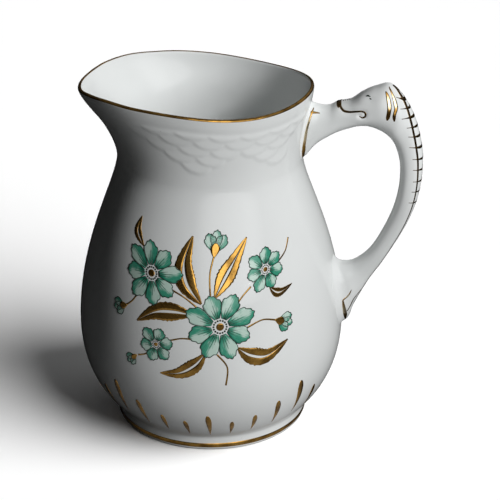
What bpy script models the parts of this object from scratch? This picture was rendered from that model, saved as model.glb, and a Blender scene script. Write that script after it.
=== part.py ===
"""Porcelain milk jug with a cast sea-horse handle.

The body is lofted from a round foot and belly to an oval lip with a pouring spout.
The handle is a second casting, luted to the wall with slip at the neck and the belly.
One gilt line runs along the lip and another round the foot.
Metres, +Z up, the handle towards +X and the spout towards -X.
"""

import math
from collections import namedtuple

import bmesh
import bpy
from mathutils import Vector
from mathutils.geometry import interpolate_bezier

# Foot ring and base
FOOT_RADIUS = 0.0335
FOOT_HEIGHT = 0.005
FOOT_RING_WIDTH = 0.0045
FOOT_EDGE_RADIUS = 0.0006
FOOT_RECESS = 0.0022
BASE_THICKNESS = 0.0042
FLOOR_CORNER_RADIUS = 0.006

# Turned profile of the belly and neck, measured outside
FOOT_FLARE = 0.0002
BELLY_RADIUS = 0.0471
BELLY_RISE = 0.032
NECK_RADIUS = 0.0325
NECK_RISE = 0.063
NECK_STRAIGHT = 0.0025
FOOT_SPRING = 0.004
FOOT_SPRING_ANGLE = math.radians(30)
BELLY_FULLNESS_BELOW = 0.020
BELLY_FULLNESS_ABOVE = 0.030
NECK_FULLNESS = 0.010
WALL = 0.0028

# Oval lip: half lengths from the body's axis, and its wave of three crests
LIP_RISE = 0.0232
RIM_WAVE = 0.0011
RIM_HALF_WIDTH = 0.0311
RIM_BACK_REACH = 0.0362
SPOUT_REACH = 0.0459
RIM_WIDEST_X = -0.0025
LIP_WALL = 0.0018
LIP_ROLL_SLOPE = 1.0

# Gilding
RIM_GILT_HEIGHT = 0.0009
FOOT_GILT_HEIGHT = 0.0011
FOOT_GILT_THICKNESS = 0.0004
FOOT_GILT_PROUD = 0.0002
FOOT_GILT_CENTRE = 0.0021

# Handle
UPPER_JOINT_DROP = 0.0148
LOWER_JOINT_RISE = 0.0135
SLIP_THICKNESS = 0.001
SLIP_MARGIN = 0.0006
SEAT_GAP = 0.0003
SECTION_SQUARENESS = 2.4
ROOT_WIDTH = 0.0104
THROAT_WIDTH = 0.0090
HEAD_WIDTH = 0.0108
BACK_WIDTH = 0.0092
GRIP_WIDTH = 0.0080

# Heights above the table that follow from the rises
CREASE_RADIUS = FOOT_RADIUS + FOOT_FLARE
BELLY_HEIGHT = FOOT_HEIGHT + BELLY_RISE
NECK_HEIGHT = BELLY_HEIGHT + NECK_RISE
LIP_START_HEIGHT = NECK_HEIGHT + NECK_STRAIGHT
RIM_HEIGHT = LIP_START_HEIGHT + LIP_RISE
GILT_SEAT_HEIGHT = RIM_HEIGHT - RIM_GILT_HEIGHT
LIP_EDGE_HEIGHT = GILT_SEAT_HEIGHT - SEAT_GAP
FLOOR_HEIGHT = FOOT_RECESS + BASE_THICKNESS

# Facets
SEGMENTS = 60
GILT_SECTION_POINTS = 6
HANDLE_SECTION_POINTS = 20
RINGS_PER_HANDLE_SECTION = 3
ROOT_SECTIONS = 2
BELLY_ROWS = 8
SHOULDER_ROWS = 10
LIP_ROWS = 8
CORNER_ROWS = 4
FINE_ROWS = 400
SHARP_ANGLE = math.radians(35)
SCREW_MERGE = 0.00001

# One section of the handle: where its outer and inner edges lie, as (out, up) from the
# middle of the joint that carries it, and its width across.
Section = namedtuple("Section", "outer inner width")

# From the neck: buried end, root, throat, bar, snout, bridge, brow, crown, nape, shoulder, back
NECK_SECTIONS = (
    Section((-0.0025, 0.0116), (-0.0054, -0.0124), ROOT_WIDTH),
    Section((0.0024, 0.0104), (-0.0007, -0.0104), ROOT_WIDTH),
    Section((0.0056, 0.0091), (0.0038, -0.0049), THROAT_WIDTH),
    Section((0.0086, 0.0093), (0.0081, -0.0017), THROAT_WIDTH),
    Section((0.0111, 0.0109), (0.0116, 0.0003), THROAT_WIDTH),
    Section((0.0157, 0.0120), (0.0157, 0.0019), THROAT_WIDTH),
    Section((0.0199, 0.0148), (0.0202, 0.0024), HEAD_WIDTH),
    Section((0.0283, 0.0184), (0.0257, 0.0014), HEAD_WIDTH),
    Section((0.0343, 0.0129), (0.0293, -0.0011), HEAD_WIDTH),
    Section((0.0385, 0.0037), (0.0315, -0.0050), BACK_WIDTH),
    Section((0.0409, -0.0090), (0.0330, -0.0115), BACK_WIDTH),
)

# From the belly: upper grip, lower grip, taper, bend, heel, root, buried end
BELLY_SECTIONS = (
    Section((0.0272, 0.0385), (0.0200, 0.0395), BACK_WIDTH),
    Section((0.0234, 0.0270), (0.0170, 0.0295), GRIP_WIDTH),
    Section((0.0166, 0.0139), (0.0110, 0.0178), GRIP_WIDTH),
    Section((0.0104, 0.0039), (0.0048, 0.0117), GRIP_WIDTH),
    Section((0.0057, -0.0052), (0.0007, 0.0113), ROOT_WIDTH),
    Section((0.0018, -0.0140), (-0.0022, 0.0140), ROOT_WIDTH),
    Section((-0.0040, -0.0160), (-0.0075, 0.0165), ROOT_WIDTH),
)

# Colours, roughness and metallic values
GLAZE = ((0.78, 0.81, 0.80), 0.10, 0.0)
FIRED_SLIP = ((0.80, 0.82, 0.80), 0.25, 0.0)
GOLD = ((0.66, 0.44, 0.13), 0.25, 1.0)


def clear_scene():
    for item in list(bpy.data.objects):
        bpy.data.objects.remove(item, do_unlink=True)


def new_collection(name):
    collection = bpy.data.collections.new(name)
    bpy.context.scene.collection.children.link(collection)
    return collection


def principled(name, finish):
    colour, roughness, metallic = finish
    material = bpy.data.materials.new(name)
    material.use_nodes = True
    shader = material.node_tree.nodes["Principled BSDF"]
    shader.inputs["Base Color"].default_value = (*colour, 1.0)
    shader.inputs["Roughness"].default_value = roughness
    shader.inputs["Metallic"].default_value = metallic
    return material


def bezier(start, leave, arrive, end, count):
    """Points (radius, height) along one Bezier stretch of a profile."""
    controls = [Vector((x, z)) for x, z in (start, leave, arrive, end)]
    return [tuple(point) for point in interpolate_bezier(*controls, count)]


def belly_profile(rows):
    leave = (
        CREASE_RADIUS + FOOT_SPRING * math.cos(FOOT_SPRING_ANGLE),
        FOOT_HEIGHT + FOOT_SPRING * math.sin(FOOT_SPRING_ANGLE),
    )
    arrive = (BELLY_RADIUS, BELLY_HEIGHT - BELLY_FULLNESS_BELOW)
    return bezier((CREASE_RADIUS, FOOT_HEIGHT), leave, arrive, (BELLY_RADIUS, BELLY_HEIGHT), rows)


def shoulder_profile(rows):
    leave = (BELLY_RADIUS, BELLY_HEIGHT + BELLY_FULLNESS_ABOVE)
    arrive = (NECK_RADIUS, NECK_HEIGHT - NECK_FULLNESS)
    return bezier((BELLY_RADIUS, BELLY_HEIGHT), leave, arrive, (NECK_RADIUS, NECK_HEIGHT), rows)


def wall_radius(height):
    """Outside radius of the turned wall, from the crease at the foot up to the neck."""
    points = belly_profile(FINE_ROWS) + shoulder_profile(FINE_ROWS)
    for (r0, z0), (r1, z1) in zip(points, points[1:]):
        if z0 <= height <= z1 and z1 > z0:
            return r0 + (r1 - r0) * (height - z0) / (z1 - z0)
    return NECK_RADIUS if height > NECK_HEIGHT else CREASE_RADIUS


def angles():
    return [2 * math.pi * i / SEGMENTS for i in range(SEGMENTS)]


def circle(radius, height):
    return [Vector((radius * math.cos(a), radius * math.sin(a), height)) for a in angles()]


def rim_point(angle, height, inset=0.0):
    """A point of the lip's oval at a mean height, moved inwards by inset."""
    reach = RIM_BACK_REACH - RIM_WIDEST_X if math.cos(angle) > 0 else SPOUT_REACH + RIM_WIDEST_X
    x = RIM_WIDEST_X + (reach - inset) * math.cos(angle)
    y = (RIM_HALF_WIDTH - inset) * math.sin(angle)
    return Vector((x, y, height + RIM_WAVE * math.cos(3 * angle)))


def lip_ease(share):
    """How far the section has gone from the round neck to the oval lip."""
    return (3 - LIP_ROLL_SLOPE) * share**2 + (LIP_ROLL_SLOPE - 2) * share**3


def lip_ring(share, inset, lip_inset):
    """A ring of the lofted lip: round at share 0 and the oval edge at share 1."""
    ease = lip_ease(share)
    ring = []
    for angle in angles():
        rim = rim_point(angle, LIP_EDGE_HEIGHT, lip_inset)
        radius = NECK_RADIUS - inset
        neck = Vector((radius * math.cos(angle), radius * math.sin(angle), LIP_START_HEIGHT))
        height = neck.z + (rim.z - neck.z) * share
        point = neck.lerp(rim, ease)
        ring.append(Vector((point.x, point.y, height)))
    return ring


def back_wall(height):
    """How far out the wall lies on the handle's side at a height."""
    if height <= LIP_START_HEIGHT:
        return wall_radius(height)
    rim = rim_point(0.0, LIP_EDGE_HEIGHT)
    share = (height - LIP_START_HEIGHT) / (rim.z - LIP_START_HEIGHT)
    return NECK_RADIUS + (rim.x - NECK_RADIUS) * lip_ease(share)


def turned_profile():
    return belly_profile(BELLY_ROWS) + shoulder_profile(SHOULDER_ROWS)[1:]


def outer_wall(offset=0.0):
    """Rings of the outside from the crease at the foot to the lip, moved outwards by offset."""
    rings = [circle(radius + offset, height) for radius, height in turned_profile()]
    shares = [row / LIP_ROWS for row in range(LIP_ROWS + 1)]
    return rings + [lip_ring(share, -offset, -offset) for share in shares]


def inner_wall():
    """Rings of the inside from the lip down to the floor."""
    shares = [row / LIP_ROWS for row in range(LIP_ROWS, -1, -1)]
    lip = [lip_ring(share, WALL + (LIP_WALL - WALL) * share, LIP_WALL) for share in shares]
    corner_top = FLOOR_HEIGHT + FLOOR_CORNER_RADIUS
    turned = [circle(r - WALL, z) for r, z in reversed(turned_profile()) if z > corner_top]
    corner_start = (wall_radius(corner_top) - WALL, corner_top)
    corner_point = (wall_radius(FLOOR_HEIGHT) - WALL, FLOOR_HEIGHT)
    corner_end = (corner_point[0] - FLOOR_CORNER_RADIUS, FLOOR_HEIGHT)
    corner = bezier(corner_start, corner_point, corner_point, corner_end, CORNER_ROWS)
    return lip + turned + [circle(r, z) for r, z in corner]


def foot_rings():
    """Rings from the recess under the base, over the resting ring, up to the crease."""
    groove_floor = FOOT_RADIUS + FOOT_GILT_PROUD - FOOT_GILT_THICKNESS - SEAT_GAP
    groove_half = FOOT_GILT_HEIGHT / 2 + SEAT_GAP
    inside = FOOT_RADIUS - FOOT_RING_WIDTH
    profile = (
        (inside - FOOT_RECESS, FOOT_RECESS),
        (inside, 0.0),
        (FOOT_RADIUS - FOOT_EDGE_RADIUS, 0.0),
        (FOOT_RADIUS, FOOT_EDGE_RADIUS),
        (FOOT_RADIUS, FOOT_GILT_CENTRE - groove_half),
        (groove_floor, FOOT_GILT_CENTRE - groove_half),
        (groove_floor, FOOT_GILT_CENTRE + groove_half),
        (FOOT_RADIUS, FOOT_GILT_CENTRE + groove_half),
    )
    return [circle(radius, height) for radius, height in profile]


def loft(name, rings, collection, material, closed=False):
    """A mesh object skinned over rings of equal count, capped or closed round on itself."""
    mesh = bmesh.new()
    loops = [[mesh.verts.new(point) for point in ring] for ring in rings]
    count = len(rings[0])
    pairs = list(zip(loops, loops[1:]))
    if closed:
        pairs.append((loops[-1], loops[0]))
    else:
        mesh.faces.new(reversed(loops[0]))
        mesh.faces.new(loops[-1])
    for first, second in pairs:
        for i in range(count):
            j = (i + 1) % count
            mesh.faces.new((first[i], first[j], second[j], second[i]))
    bmesh.ops.recalc_face_normals(mesh, faces=mesh.faces)
    return object_from(name, mesh, collection, material)


def object_from(name, mesh, collection, material):
    data = bpy.data.meshes.new(name)
    mesh.to_mesh(data)
    mesh.free()
    data.shade_smooth()
    data.set_sharp_from_angle(angle=SHARP_ANGLE)
    item = bpy.data.objects.new(name, data)
    collection.objects.link(item)
    if material:
        data.materials.append(material)
    return item


def cut(item, cutter, operation):
    modifier = item.modifiers.new(cutter.name, "BOOLEAN")
    modifier.object = cutter
    modifier.operation = operation
    modifier.solver = "EXACT"


def wall_cutter(name, offset, collection):
    """The outside of the body as a solid, enlarged by offset, for seating pieces on the wall."""
    rings = outer_wall(offset)
    above = [point + Vector((0, 0, LIP_RISE)) for point in rings[-1]]
    cutter = loft(name, rings + [above], collection, None)
    cutter.hide_render = True
    cutter.display_type = "WIRE"
    return cutter


def jug_body(collection):
    rings = foot_rings() + outer_wall() + inner_wall()
    return loft("jug_body", rings, collection, principled("body_glaze", GLAZE))


def rim_gilding(collection):
    """A low arched line that covers the lip all round."""
    sections = []
    for angle in angles():
        outer = rim_point(angle, GILT_SEAT_HEIGHT)
        inner = rim_point(angle, GILT_SEAT_HEIGHT, LIP_WALL)
        middle = (outer + inner) / 2
        half = (outer - inner) / 2
        section = []
        for i in range(GILT_SECTION_POINTS + 1):
            turn = math.pi * i / GILT_SECTION_POINTS
            rise = Vector((0, 0, RIM_GILT_HEIGHT * math.sin(turn)))
            section.append(middle + half * math.cos(turn) + rise)
        sections.append(section)
    return loft("rim_gilding", sections, collection, principled("rim_gold", GOLD), closed=True)


def foot_gilding(collection):
    """A turned band set in the groove round the foot."""
    outer = FOOT_RADIUS + FOOT_GILT_PROUD
    inner = outer - FOOT_GILT_THICKNESS
    low = FOOT_GILT_CENTRE - FOOT_GILT_HEIGHT / 2
    high = FOOT_GILT_CENTRE + FOOT_GILT_HEIGHT / 2
    mesh = bmesh.new()
    corners = ((outer, high), (outer, low), (inner, low), (inner, high))
    points = [mesh.verts.new((radius, 0, height)) for radius, height in corners]
    for first, second in zip(points, points[1:] + points[:1]):
        mesh.edges.new((first, second))
    band = object_from("foot_gilding", mesh, collection, principled("foot_gold", GOLD))
    screw = band.modifiers.new("turn", "SCREW")
    screw.steps = SEGMENTS
    screw.render_steps = SEGMENTS
    screw.use_merge_vertices = True
    screw.merge_threshold = SCREW_MERGE
    return band


def placed_sections():
    """The handle's sections from neck to belly, in the jug's own coordinates."""
    neck_height = RIM_HEIGHT - UPPER_JOINT_DROP
    belly_height = BELLY_HEIGHT + LOWER_JOINT_RISE
    placed = []
    for height, sections in ((neck_height, NECK_SECTIONS), (belly_height, BELLY_SECTIONS)):
        joint = Vector((back_wall(height), height))
        for section in sections:
            placed.append((joint + Vector(section.outer), joint + Vector(section.inner), section.width))
    return placed


def smooth(before, start, end, after, share):
    """Catmull-Rom interpolation between start and end."""
    slope_in = (end - before) / 2
    slope_out = (after - start) / 2
    rest = 1 - share
    return (
        start * (rest * rest * (1 + 2 * share))
        + end * (share * share * (3 - 2 * share))
        + slope_in * (share * rest * rest)
        - slope_out * (share * share * rest)
    )


def handle_ring(sections, position, grow=0.0):
    """The closed section at a position counted along the sections, made larger by grow."""
    last = len(sections) - 1
    index = min(int(position), last - 1)
    around = [sections[min(max(index + step, 0), last)] for step in (-1, 0, 1, 2)]
    share = position - index
    outer, inner, width = (smooth(*(part[k] for part in around), share) for k in range(3))
    middle = (outer + inner) / 2
    half = (outer - inner) / 2
    half *= 1 + grow / half.length
    half_width = width / 2 + grow
    ring = []
    for i in range(HANDLE_SECTION_POINTS):
        turn = 2 * math.pi * i / HANDLE_SECTION_POINTS
        along = rounded(math.cos(turn))
        across = rounded(math.sin(turn))
        point = middle + half * along
        ring.append(Vector((point.x, half_width * across, point.y)))
    return ring


def rounded(value):
    """One coordinate of a section that is a little squarer than an ellipse."""
    return math.copysign(abs(value) ** (2 / SECTION_SQUARENESS), value)


def handle_rings(start, end, grow=0.0):
    """Rings of the handle between two positions counted along its sections."""
    sections = placed_sections()
    steps = round((end - start) * RINGS_PER_HANDLE_SECTION)
    return [handle_ring(sections, start + (end - start) * i / steps, grow) for i in range(steps + 1)]


def handle(collection, cutter):
    last = len(NECK_SECTIONS) + len(BELLY_SECTIONS) - 1
    item = loft("handle", handle_rings(0, last), collection, principled("handle_glaze", GLAZE))
    cut(item, cutter, "DIFFERENCE")
    return item


def slip_joints(collection, slip_outside, slip_inside):
    """The two thin layers of slip that follow the wall under the handle's ends."""
    last = len(NECK_SECTIONS) + len(BELLY_SECTIONS) - 1
    ends = (
        ("upper_slip_joint", 0, ROOT_SECTIONS),
        ("lower_slip_joint", last - ROOT_SECTIONS, last),
    )
    for name, start, end in ends:
        rings = handle_rings(start, end, SLIP_MARGIN)
        item = loft(name, rings, collection, principled(name + "_slip", FIRED_SLIP))
        cut(item, slip_outside, "INTERSECT")
        cut(item, slip_inside, "DIFFERENCE")


def centre_on_footprint(parts):
    """Puts the origin under the middle of the jug's overall length."""
    bpy.context.view_layer.update()
    graph = bpy.context.evaluated_depsgraph_get()
    corners = [corner[0] for item in parts.objects for corner in item.evaluated_get(graph).bound_box]
    axis = bpy.data.objects.new("jug_axis", None)
    axis.location.x = -(min(corners) + max(corners)) / 2
    for item in list(parts.objects):
        item.parent = axis
    parts.objects.link(axis)
    return axis


def main():
    clear_scene()
    parts = new_collection("milk_jug")
    cutters = new_collection("milk_jug_cutters")
    jug_body(parts)
    rim_gilding(parts)
    foot_gilding(parts)
    slip_inside = wall_cutter("slip_inside", SEAT_GAP, cutters)
    slip_outside = wall_cutter("slip_outside", SEAT_GAP + SLIP_THICKNESS, cutters)
    handle_seat = wall_cutter("handle_seat", 2 * SEAT_GAP + SLIP_THICKNESS, cutters)
    handle(parts, handle_seat)
    slip_joints(parts, slip_outside, slip_inside)
    axis = centre_on_footprint(parts)
    for cutter in cutters.objects:
        cutter.parent = axis


main()
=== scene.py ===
"""Dresses a packed porcelain milk jug: a glazed body with moulded scales, a cast sea-horse
handle, gilt lines and strokes, a painted spray and a pale studio.

Laid out as an add-on, run as a script."""
import math

import bpy
import numpy as np
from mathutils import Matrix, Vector
from mathutils.bvhtree import BVHTree


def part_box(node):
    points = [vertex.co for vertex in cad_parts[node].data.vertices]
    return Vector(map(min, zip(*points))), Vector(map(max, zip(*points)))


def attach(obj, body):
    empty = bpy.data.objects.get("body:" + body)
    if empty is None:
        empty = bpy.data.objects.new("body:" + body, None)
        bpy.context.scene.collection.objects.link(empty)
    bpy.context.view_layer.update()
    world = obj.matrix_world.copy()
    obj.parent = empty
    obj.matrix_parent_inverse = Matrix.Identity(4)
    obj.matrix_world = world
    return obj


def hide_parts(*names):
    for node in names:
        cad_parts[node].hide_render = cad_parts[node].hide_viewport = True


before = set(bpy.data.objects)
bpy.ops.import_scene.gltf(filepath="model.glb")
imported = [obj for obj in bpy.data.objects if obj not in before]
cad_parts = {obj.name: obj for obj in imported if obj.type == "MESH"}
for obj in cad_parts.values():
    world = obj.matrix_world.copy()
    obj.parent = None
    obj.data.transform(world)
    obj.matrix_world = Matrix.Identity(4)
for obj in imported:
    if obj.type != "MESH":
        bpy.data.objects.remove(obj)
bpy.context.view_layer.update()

bl_info = {
    "name": "Milk Jug Finish",
    "version": (1, 0, 0),
    "blender": (4, 5, 0),
    "location": "View3D > Sidebar > Milk Jug",
    "description": "Glazes, gilds and paints a porcelain milk jug over its CAD solids",
    "category": "Object",
}

MM = 0.001
BODY_LOW, BODY_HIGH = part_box("jug_body")
RIM_LOW, RIM_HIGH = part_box("rim_gilding")
FOOT_LINE_LOW, FOOT_LINE_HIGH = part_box("foot_gilding")
HANDLE_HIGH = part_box("handle")[1]
# Room that is left inside the CAD box for painted films
FILM_ROOM = 0.12 * MM
CAD_BELLY_RADIUS = (BODY_HIGH.y - BODY_LOW.y) / 2
AXIS_X = BODY_LOW.x + CAD_BELLY_RADIUS


def length(name, description, default):
    """A size in metres."""
    return bpy.props.FloatProperty(
        name=name, description=description, default=default, min=0.0, precision=5, unit="LENGTH")


def angle(name, description, degrees):
    """An angle, given in degrees."""
    return bpy.props.FloatProperty(
        name=name, description=description, default=math.radians(degrees), subtype="ANGLE")


def amount(name, description, default):
    """A plain number."""
    return bpy.props.FloatProperty(name=name, description=description, default=default, min=0.0)


def count(name, description, default):
    """A whole number of like things."""
    return bpy.props.IntProperty(name=name, description=description, default=default, min=1)


def colour(name, description, default):
    """A colour as the surface reflects it, in linear light."""
    return bpy.props.FloatVectorProperty(
        name=name, description=description, default=(*default, 1.0), size=4, min=0.0, max=1.0,
        subtype="COLOR")


class JugBodySettings(bpy.types.PropertyGroup):
    """Sizes of the turned body, its foot and its oval lip."""

    belly_radius: length("Belly radius", "Widest outside radius", CAD_BELLY_RADIUS - FILM_ROOM)
    belly_height: length("Belly height", "Height of the widest place", 0.037)
    belly_below: length("Fullness below", "How far the belly stays full downwards", 0.0212)
    belly_above: length("Fullness above", "How far the belly stays full upwards", 0.030)
    foot_radius: length("Foot radius", "Outside radius of the foot ring", 0.0338)
    foot_height: length("Foot height", "Height of the crease over the foot", 0.0054)
    crease_radius: length("Crease radius", "Outside radius where belly and foot meet", 0.0344)
    neck_radius: length("Neck radius", "Outside radius of the neck", 0.0325)
    neck_height: length("Neck height", "Height where the neck is narrowest", 0.100)
    neck_fullness: length("Neck fullness", "How far down the neck stays straight", 0.010)
    neck_squeeze: length("Neck squeeze", "How much each side of the neck is drawn in", 0.0034)
    lip_start: length("Lip start", "Height from which the lip opens out", 0.1000)
    rim_height: length("Rim height", "Mean height of the rim", RIM_HIGH.z - 0.0011)
    rim_wave: length("Rim wave", "How far the rim rises at spout sides and handle", 0.0011)
    rim_crest: length("Rim crest", "How much higher the rim stands beside the spout", 0.0006)
    rim_half_width: length("Rim half width", "Half of the mouth's width", RIM_HIGH.y)
    rim_back: length("Rim back", "Reach of the rim towards the handle", RIM_HIGH.x - AXIS_X)
    spout_reach: length("Spout reach", "Reach of the pouring lip", AXIS_X - RIM_LOW.x)
    rim_shift: length("Rim shift", "How far the widest place lies towards the spout", 0.0025)
    wall: length("Wall", "Thickness of the belly's wall", 0.0028)
    lip_wall: length("Lip wall", "Thickness of the rounded lip", 0.0016)
    lip_sweep: amount("Lip sweep", "Power by which the lip opens out towards the rim", 1.8)
    floor_height: length("Floor", "Height of the floor inside", 0.0064)
    foot_recess: length("Foot recess", "Depth of the hollow inside the foot ring", 0.0022)
    scale_columns: count("Scale columns", "Moulded scales in one row round the neck", 21)
    scale_row: length("Scale row", "Height of one row of scales", 0.0031)
    scale_depth: length("Scale depth", "How far the scales stand proud", 0.00027)
    plain_band: length("Plain band", "Smooth band between the rim and the scales", 0.0048)
    glaze: colour("Glaze", "Colour of the glazed porcelain", (0.775, 0.795, 0.790))
    bare_clay: colour("Bare foot", "Colour of the unglazed ring under the foot", (0.62, 0.58, 0.52))


class HandleSettings(bpy.types.PropertyGroup):
    """Widths and fillets of the sea-horse handle."""

    root_width: length("Root width", "Width where the bar meets the wall", 0.0104)
    throat_width: length("Throat width", "Width of the bar behind the snout", 0.0105)
    head_width: length("Head width", "Width of the head", 0.0108)
    back_width: length("Back width", "Width of the arched back", 0.0092)
    grip_width: length("Grip width", "Width of the lower grip", 0.0080)
    squareness: amount("Squareness", "Power of the rounded section, 2 is an ellipse", 2.3)
    upper_height: length("Upper joint", "Height of the upper joint", 0.1109)
    lower_height: length("Lower joint", "Height of the lower joint", 0.0505)
    upper_fillet: length("Upper fillet", "Radius of the slip fillet at the neck", 0.0009)
    lower_fillet: length("Lower fillet", "Radius of the slip fillet at the belly", 0.0042)
    carving: length("Carving", "Depth of the mouth and eye", 0.00045)
    # Painted light: the glaze is painted paler on the head to brighten it
    painted_head_light: amount("Crown glaze", "How much paler the glaze is on the head", 0.15)


class GildingSettings(bpy.types.PropertyGroup):
    """Sizes and colours of the gilt lines and brush strokes."""

    rim_line: length("Rim line", "Radius of the gilt bead over the lip", 0.00074)
    rim_offset: length("Rim offset", "How far the bead sits out and up on the lip", 0.00012)
    spout_swell: amount("Spout swell", "How much thicker the bead is at the tip of the spout", 0.14)
    foot_line: length("Foot line", "Height of the gilt line round the foot", 0.0018)
    foot_line_height: length(
        "Foot line height", "Height of the line's middle", (FOOT_LINE_LOW.z + FOOT_LINE_HIGH.z) / 2)
    strokes: count("Foot strokes", "Brush strokes round the bottom of the belly", 32)
    stroke_length: length("Stroke length", "Length of the longest foot stroke", 0.0151)
    stroke_width: length("Stroke width", "Width of a foot stroke", 0.0026)
    film: length("Film", "How far a painted film stands proud", 0.00004)
    gold: colour("Gold", "Burnished gold", (0.47, 0.262, 0.056))
    # Tarnished gold in patches; on the sea horse's gilt strokes it is also the painted shade at
    # their ends
    worn_and_shaded_gold: colour("Worn gold", "Thin or tarnished gold", (0.115, 0.056, 0.010))
    # Painted shade: a darker copy of the gold for the fine lines, standing in for the dark they
    # reflect
    dark_gold: colour("Dark gold", "Gold of the fine dark lines", (0.20, 0.115, 0.035))
    # Painted highlight: pale gold painted in the middle of the gill and seam strokes
    rubbed_gold: colour("Rubbed gold", "Gold rubbed bright on the gills", (0.95, 0.82, 0.56))


class SpraySettings(bpy.types.PropertyGroup):
    """Place and colours of the painted spray."""

    turn: angle("Turn", "Turn of the spray's middle about the axis, from the handle", -87.0)
    height: length("Height", "Height of the spray's middle", 0.0620)
    deep_green: colour("Deep green", "Enamel at the edge of a petal", (0.004, 0.125, 0.075))
    soft_green: colour("Soft green", "Enamel in the middle of a petal", (0.050, 0.305, 0.200))
    pale_green: colour(
        "Pale green", "Thin enamel where the glaze shows through", (0.52, 0.68, 0.60))
    ink: colour("Ink", "Dark outline", (0.010, 0.022, 0.014))


class StudioSettings(bpy.types.PropertyGroup):
    """Light, floor and camera."""

    key_turn: angle("Key turn", "Turn of the main light from the front towards the handle", 57.0)
    key_rise: angle("Key rise", "Height angle of the main light", 32.0)
    key_spread: angle("Key spread", "Angle that the soft main light fills", 14.0)
    key_strength: amount("Key strength", "Strength of the main light", 2.12)
    fill_turn: angle("Fill turn", "Turn of the second light from the front", 46.0)
    fill_rise: angle("Fill rise", "Height angle of the second light", 14.0)
    fill_strength: amount("Fill strength", "Strength of the second light", 0.85)
    floor_mirror: amount("Floor mirror", "How bright the floor in front shows in the gloss", 0.32)
    bounce_right: amount("Bounce right", "Light that the lit floor throws back", 0.05)
    bounce_front: amount("Bounce front", "Light that the floor in front throws back", 0.06)
    window: amount("Window", "How bright the main light's window shows in the gloss", 2.8)
    sky: amount("Sky", "How bright the upper room shows in the gloss", 0.4)
    floor_turn: angle("Floor light turn", "Turn of the light that gives the floor's shadow", 67.0)
    floor_rise: angle("Floor light rise", "Height angle of that light", 38.0)
    back_strength: amount("Back light", "Strength of the soft light on the far side", 2.5)
    inside_power: amount("Inside light", "Power of the soft light into the belly, in watts", 8.0)
    ambient: amount("Ambient", "Strength of the dim room", 0.012)
    floor_colour: colour("Floor", "Colour of the pale floor", (0.98, 0.98, 0.98))
    lens: bpy.props.FloatProperty(
        name="Lens", description="Focal length in millimetres", default=167.5, min=1.0)


class MilkJugSettings(bpy.types.PropertyGroup):
    """All settings of the milk jug."""

    body: bpy.props.PointerProperty(type=JugBodySettings)
    handle: bpy.props.PointerProperty(type=HandleSettings)
    gilding: bpy.props.PointerProperty(type=GildingSettings)
    spray: bpy.props.PointerProperty(type=SpraySettings)
    studio: bpy.props.PointerProperty(type=StudioSettings)


# Shapes as sums


def bezier(start, leave, arrive, end, steps):
    """Points on a cubic curve between two ends."""
    t = np.linspace(0.0, 1.0, steps)[:, None]
    start, leave, arrive, end = (np.asarray(p, float) for p in (start, leave, arrive, end))
    return ((1 - t) ** 3 * start + 3 * (1 - t) ** 2 * t * leave
            + 3 * (1 - t) * t ** 2 * arrive + t ** 3 * end)


def flowing(points, places):
    """A smooth curve through the points, read at places counted in points."""
    points = np.asarray(points, float)
    last = len(points) - 1
    places = np.clip(np.asarray(places, float), 0.0, last)
    first = np.minimum(places.astype(int), last - 1)
    u = (places - first)[..., None]
    a, b, c, d = (points[np.clip(first + k, 0, last)] for k in (-1, 0, 1, 2))
    return 0.5 * (2 * b + (c - a) * u + (2 * a - 5 * b + 4 * c - d) * u ** 2
                  + (3 * b - a - 3 * c + d) * u ** 3)


def smooth(low, high, value):
    """A soft step from 0 to 1."""
    t = np.clip((value - low) / (high - low), 0.0, 1.0)
    return t * t * (3 - 2 * t)


def unit(vectors):
    """Vectors brought to length 1."""
    return vectors / np.maximum(np.linalg.norm(vectors, axis=-1, keepdims=True), 1e-12)


def distance_to_line(x, z, line):
    """Distance of each point (x, z) from a line of straight pieces."""
    line = np.asarray(line, float)
    best = np.full(np.shape(x), 1e9)
    for (ax, az), (bx, bz) in zip(line[:-1], line[1:]):
        dx, dz = bx - ax, bz - az
        t = np.clip(((x - ax) * dx + (z - az) * dz) / (dx * dx + dz * dz), 0.0, 1.0)
        best = np.minimum(best, np.hypot(x - ax - t * dx, z - az - t * dz))
    return best


# The belly springs from the crease at an angle and stays on it for a fold
BELLY_SPRING = math.radians(68)
BELLY_FOLD = 0.0026
# Heights between which the sides of the neck draw in
SQUEEZED_HEIGHTS = (0.062, 0.106)
# The lip opens by a power curve and a soft step, with a last flick in its upper half
SWEPT_SHARE = 0.75
EASED_SHARE = 0.25
FLICK_START = 0.5
FLICK_SHARE = 0.5
# Where the rim stands higher beside the spout, as minus the cosine of the turn
CREST_RISES = (0.45, 0.75)
CREST_FALLS = (1.0, 0.86)


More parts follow.
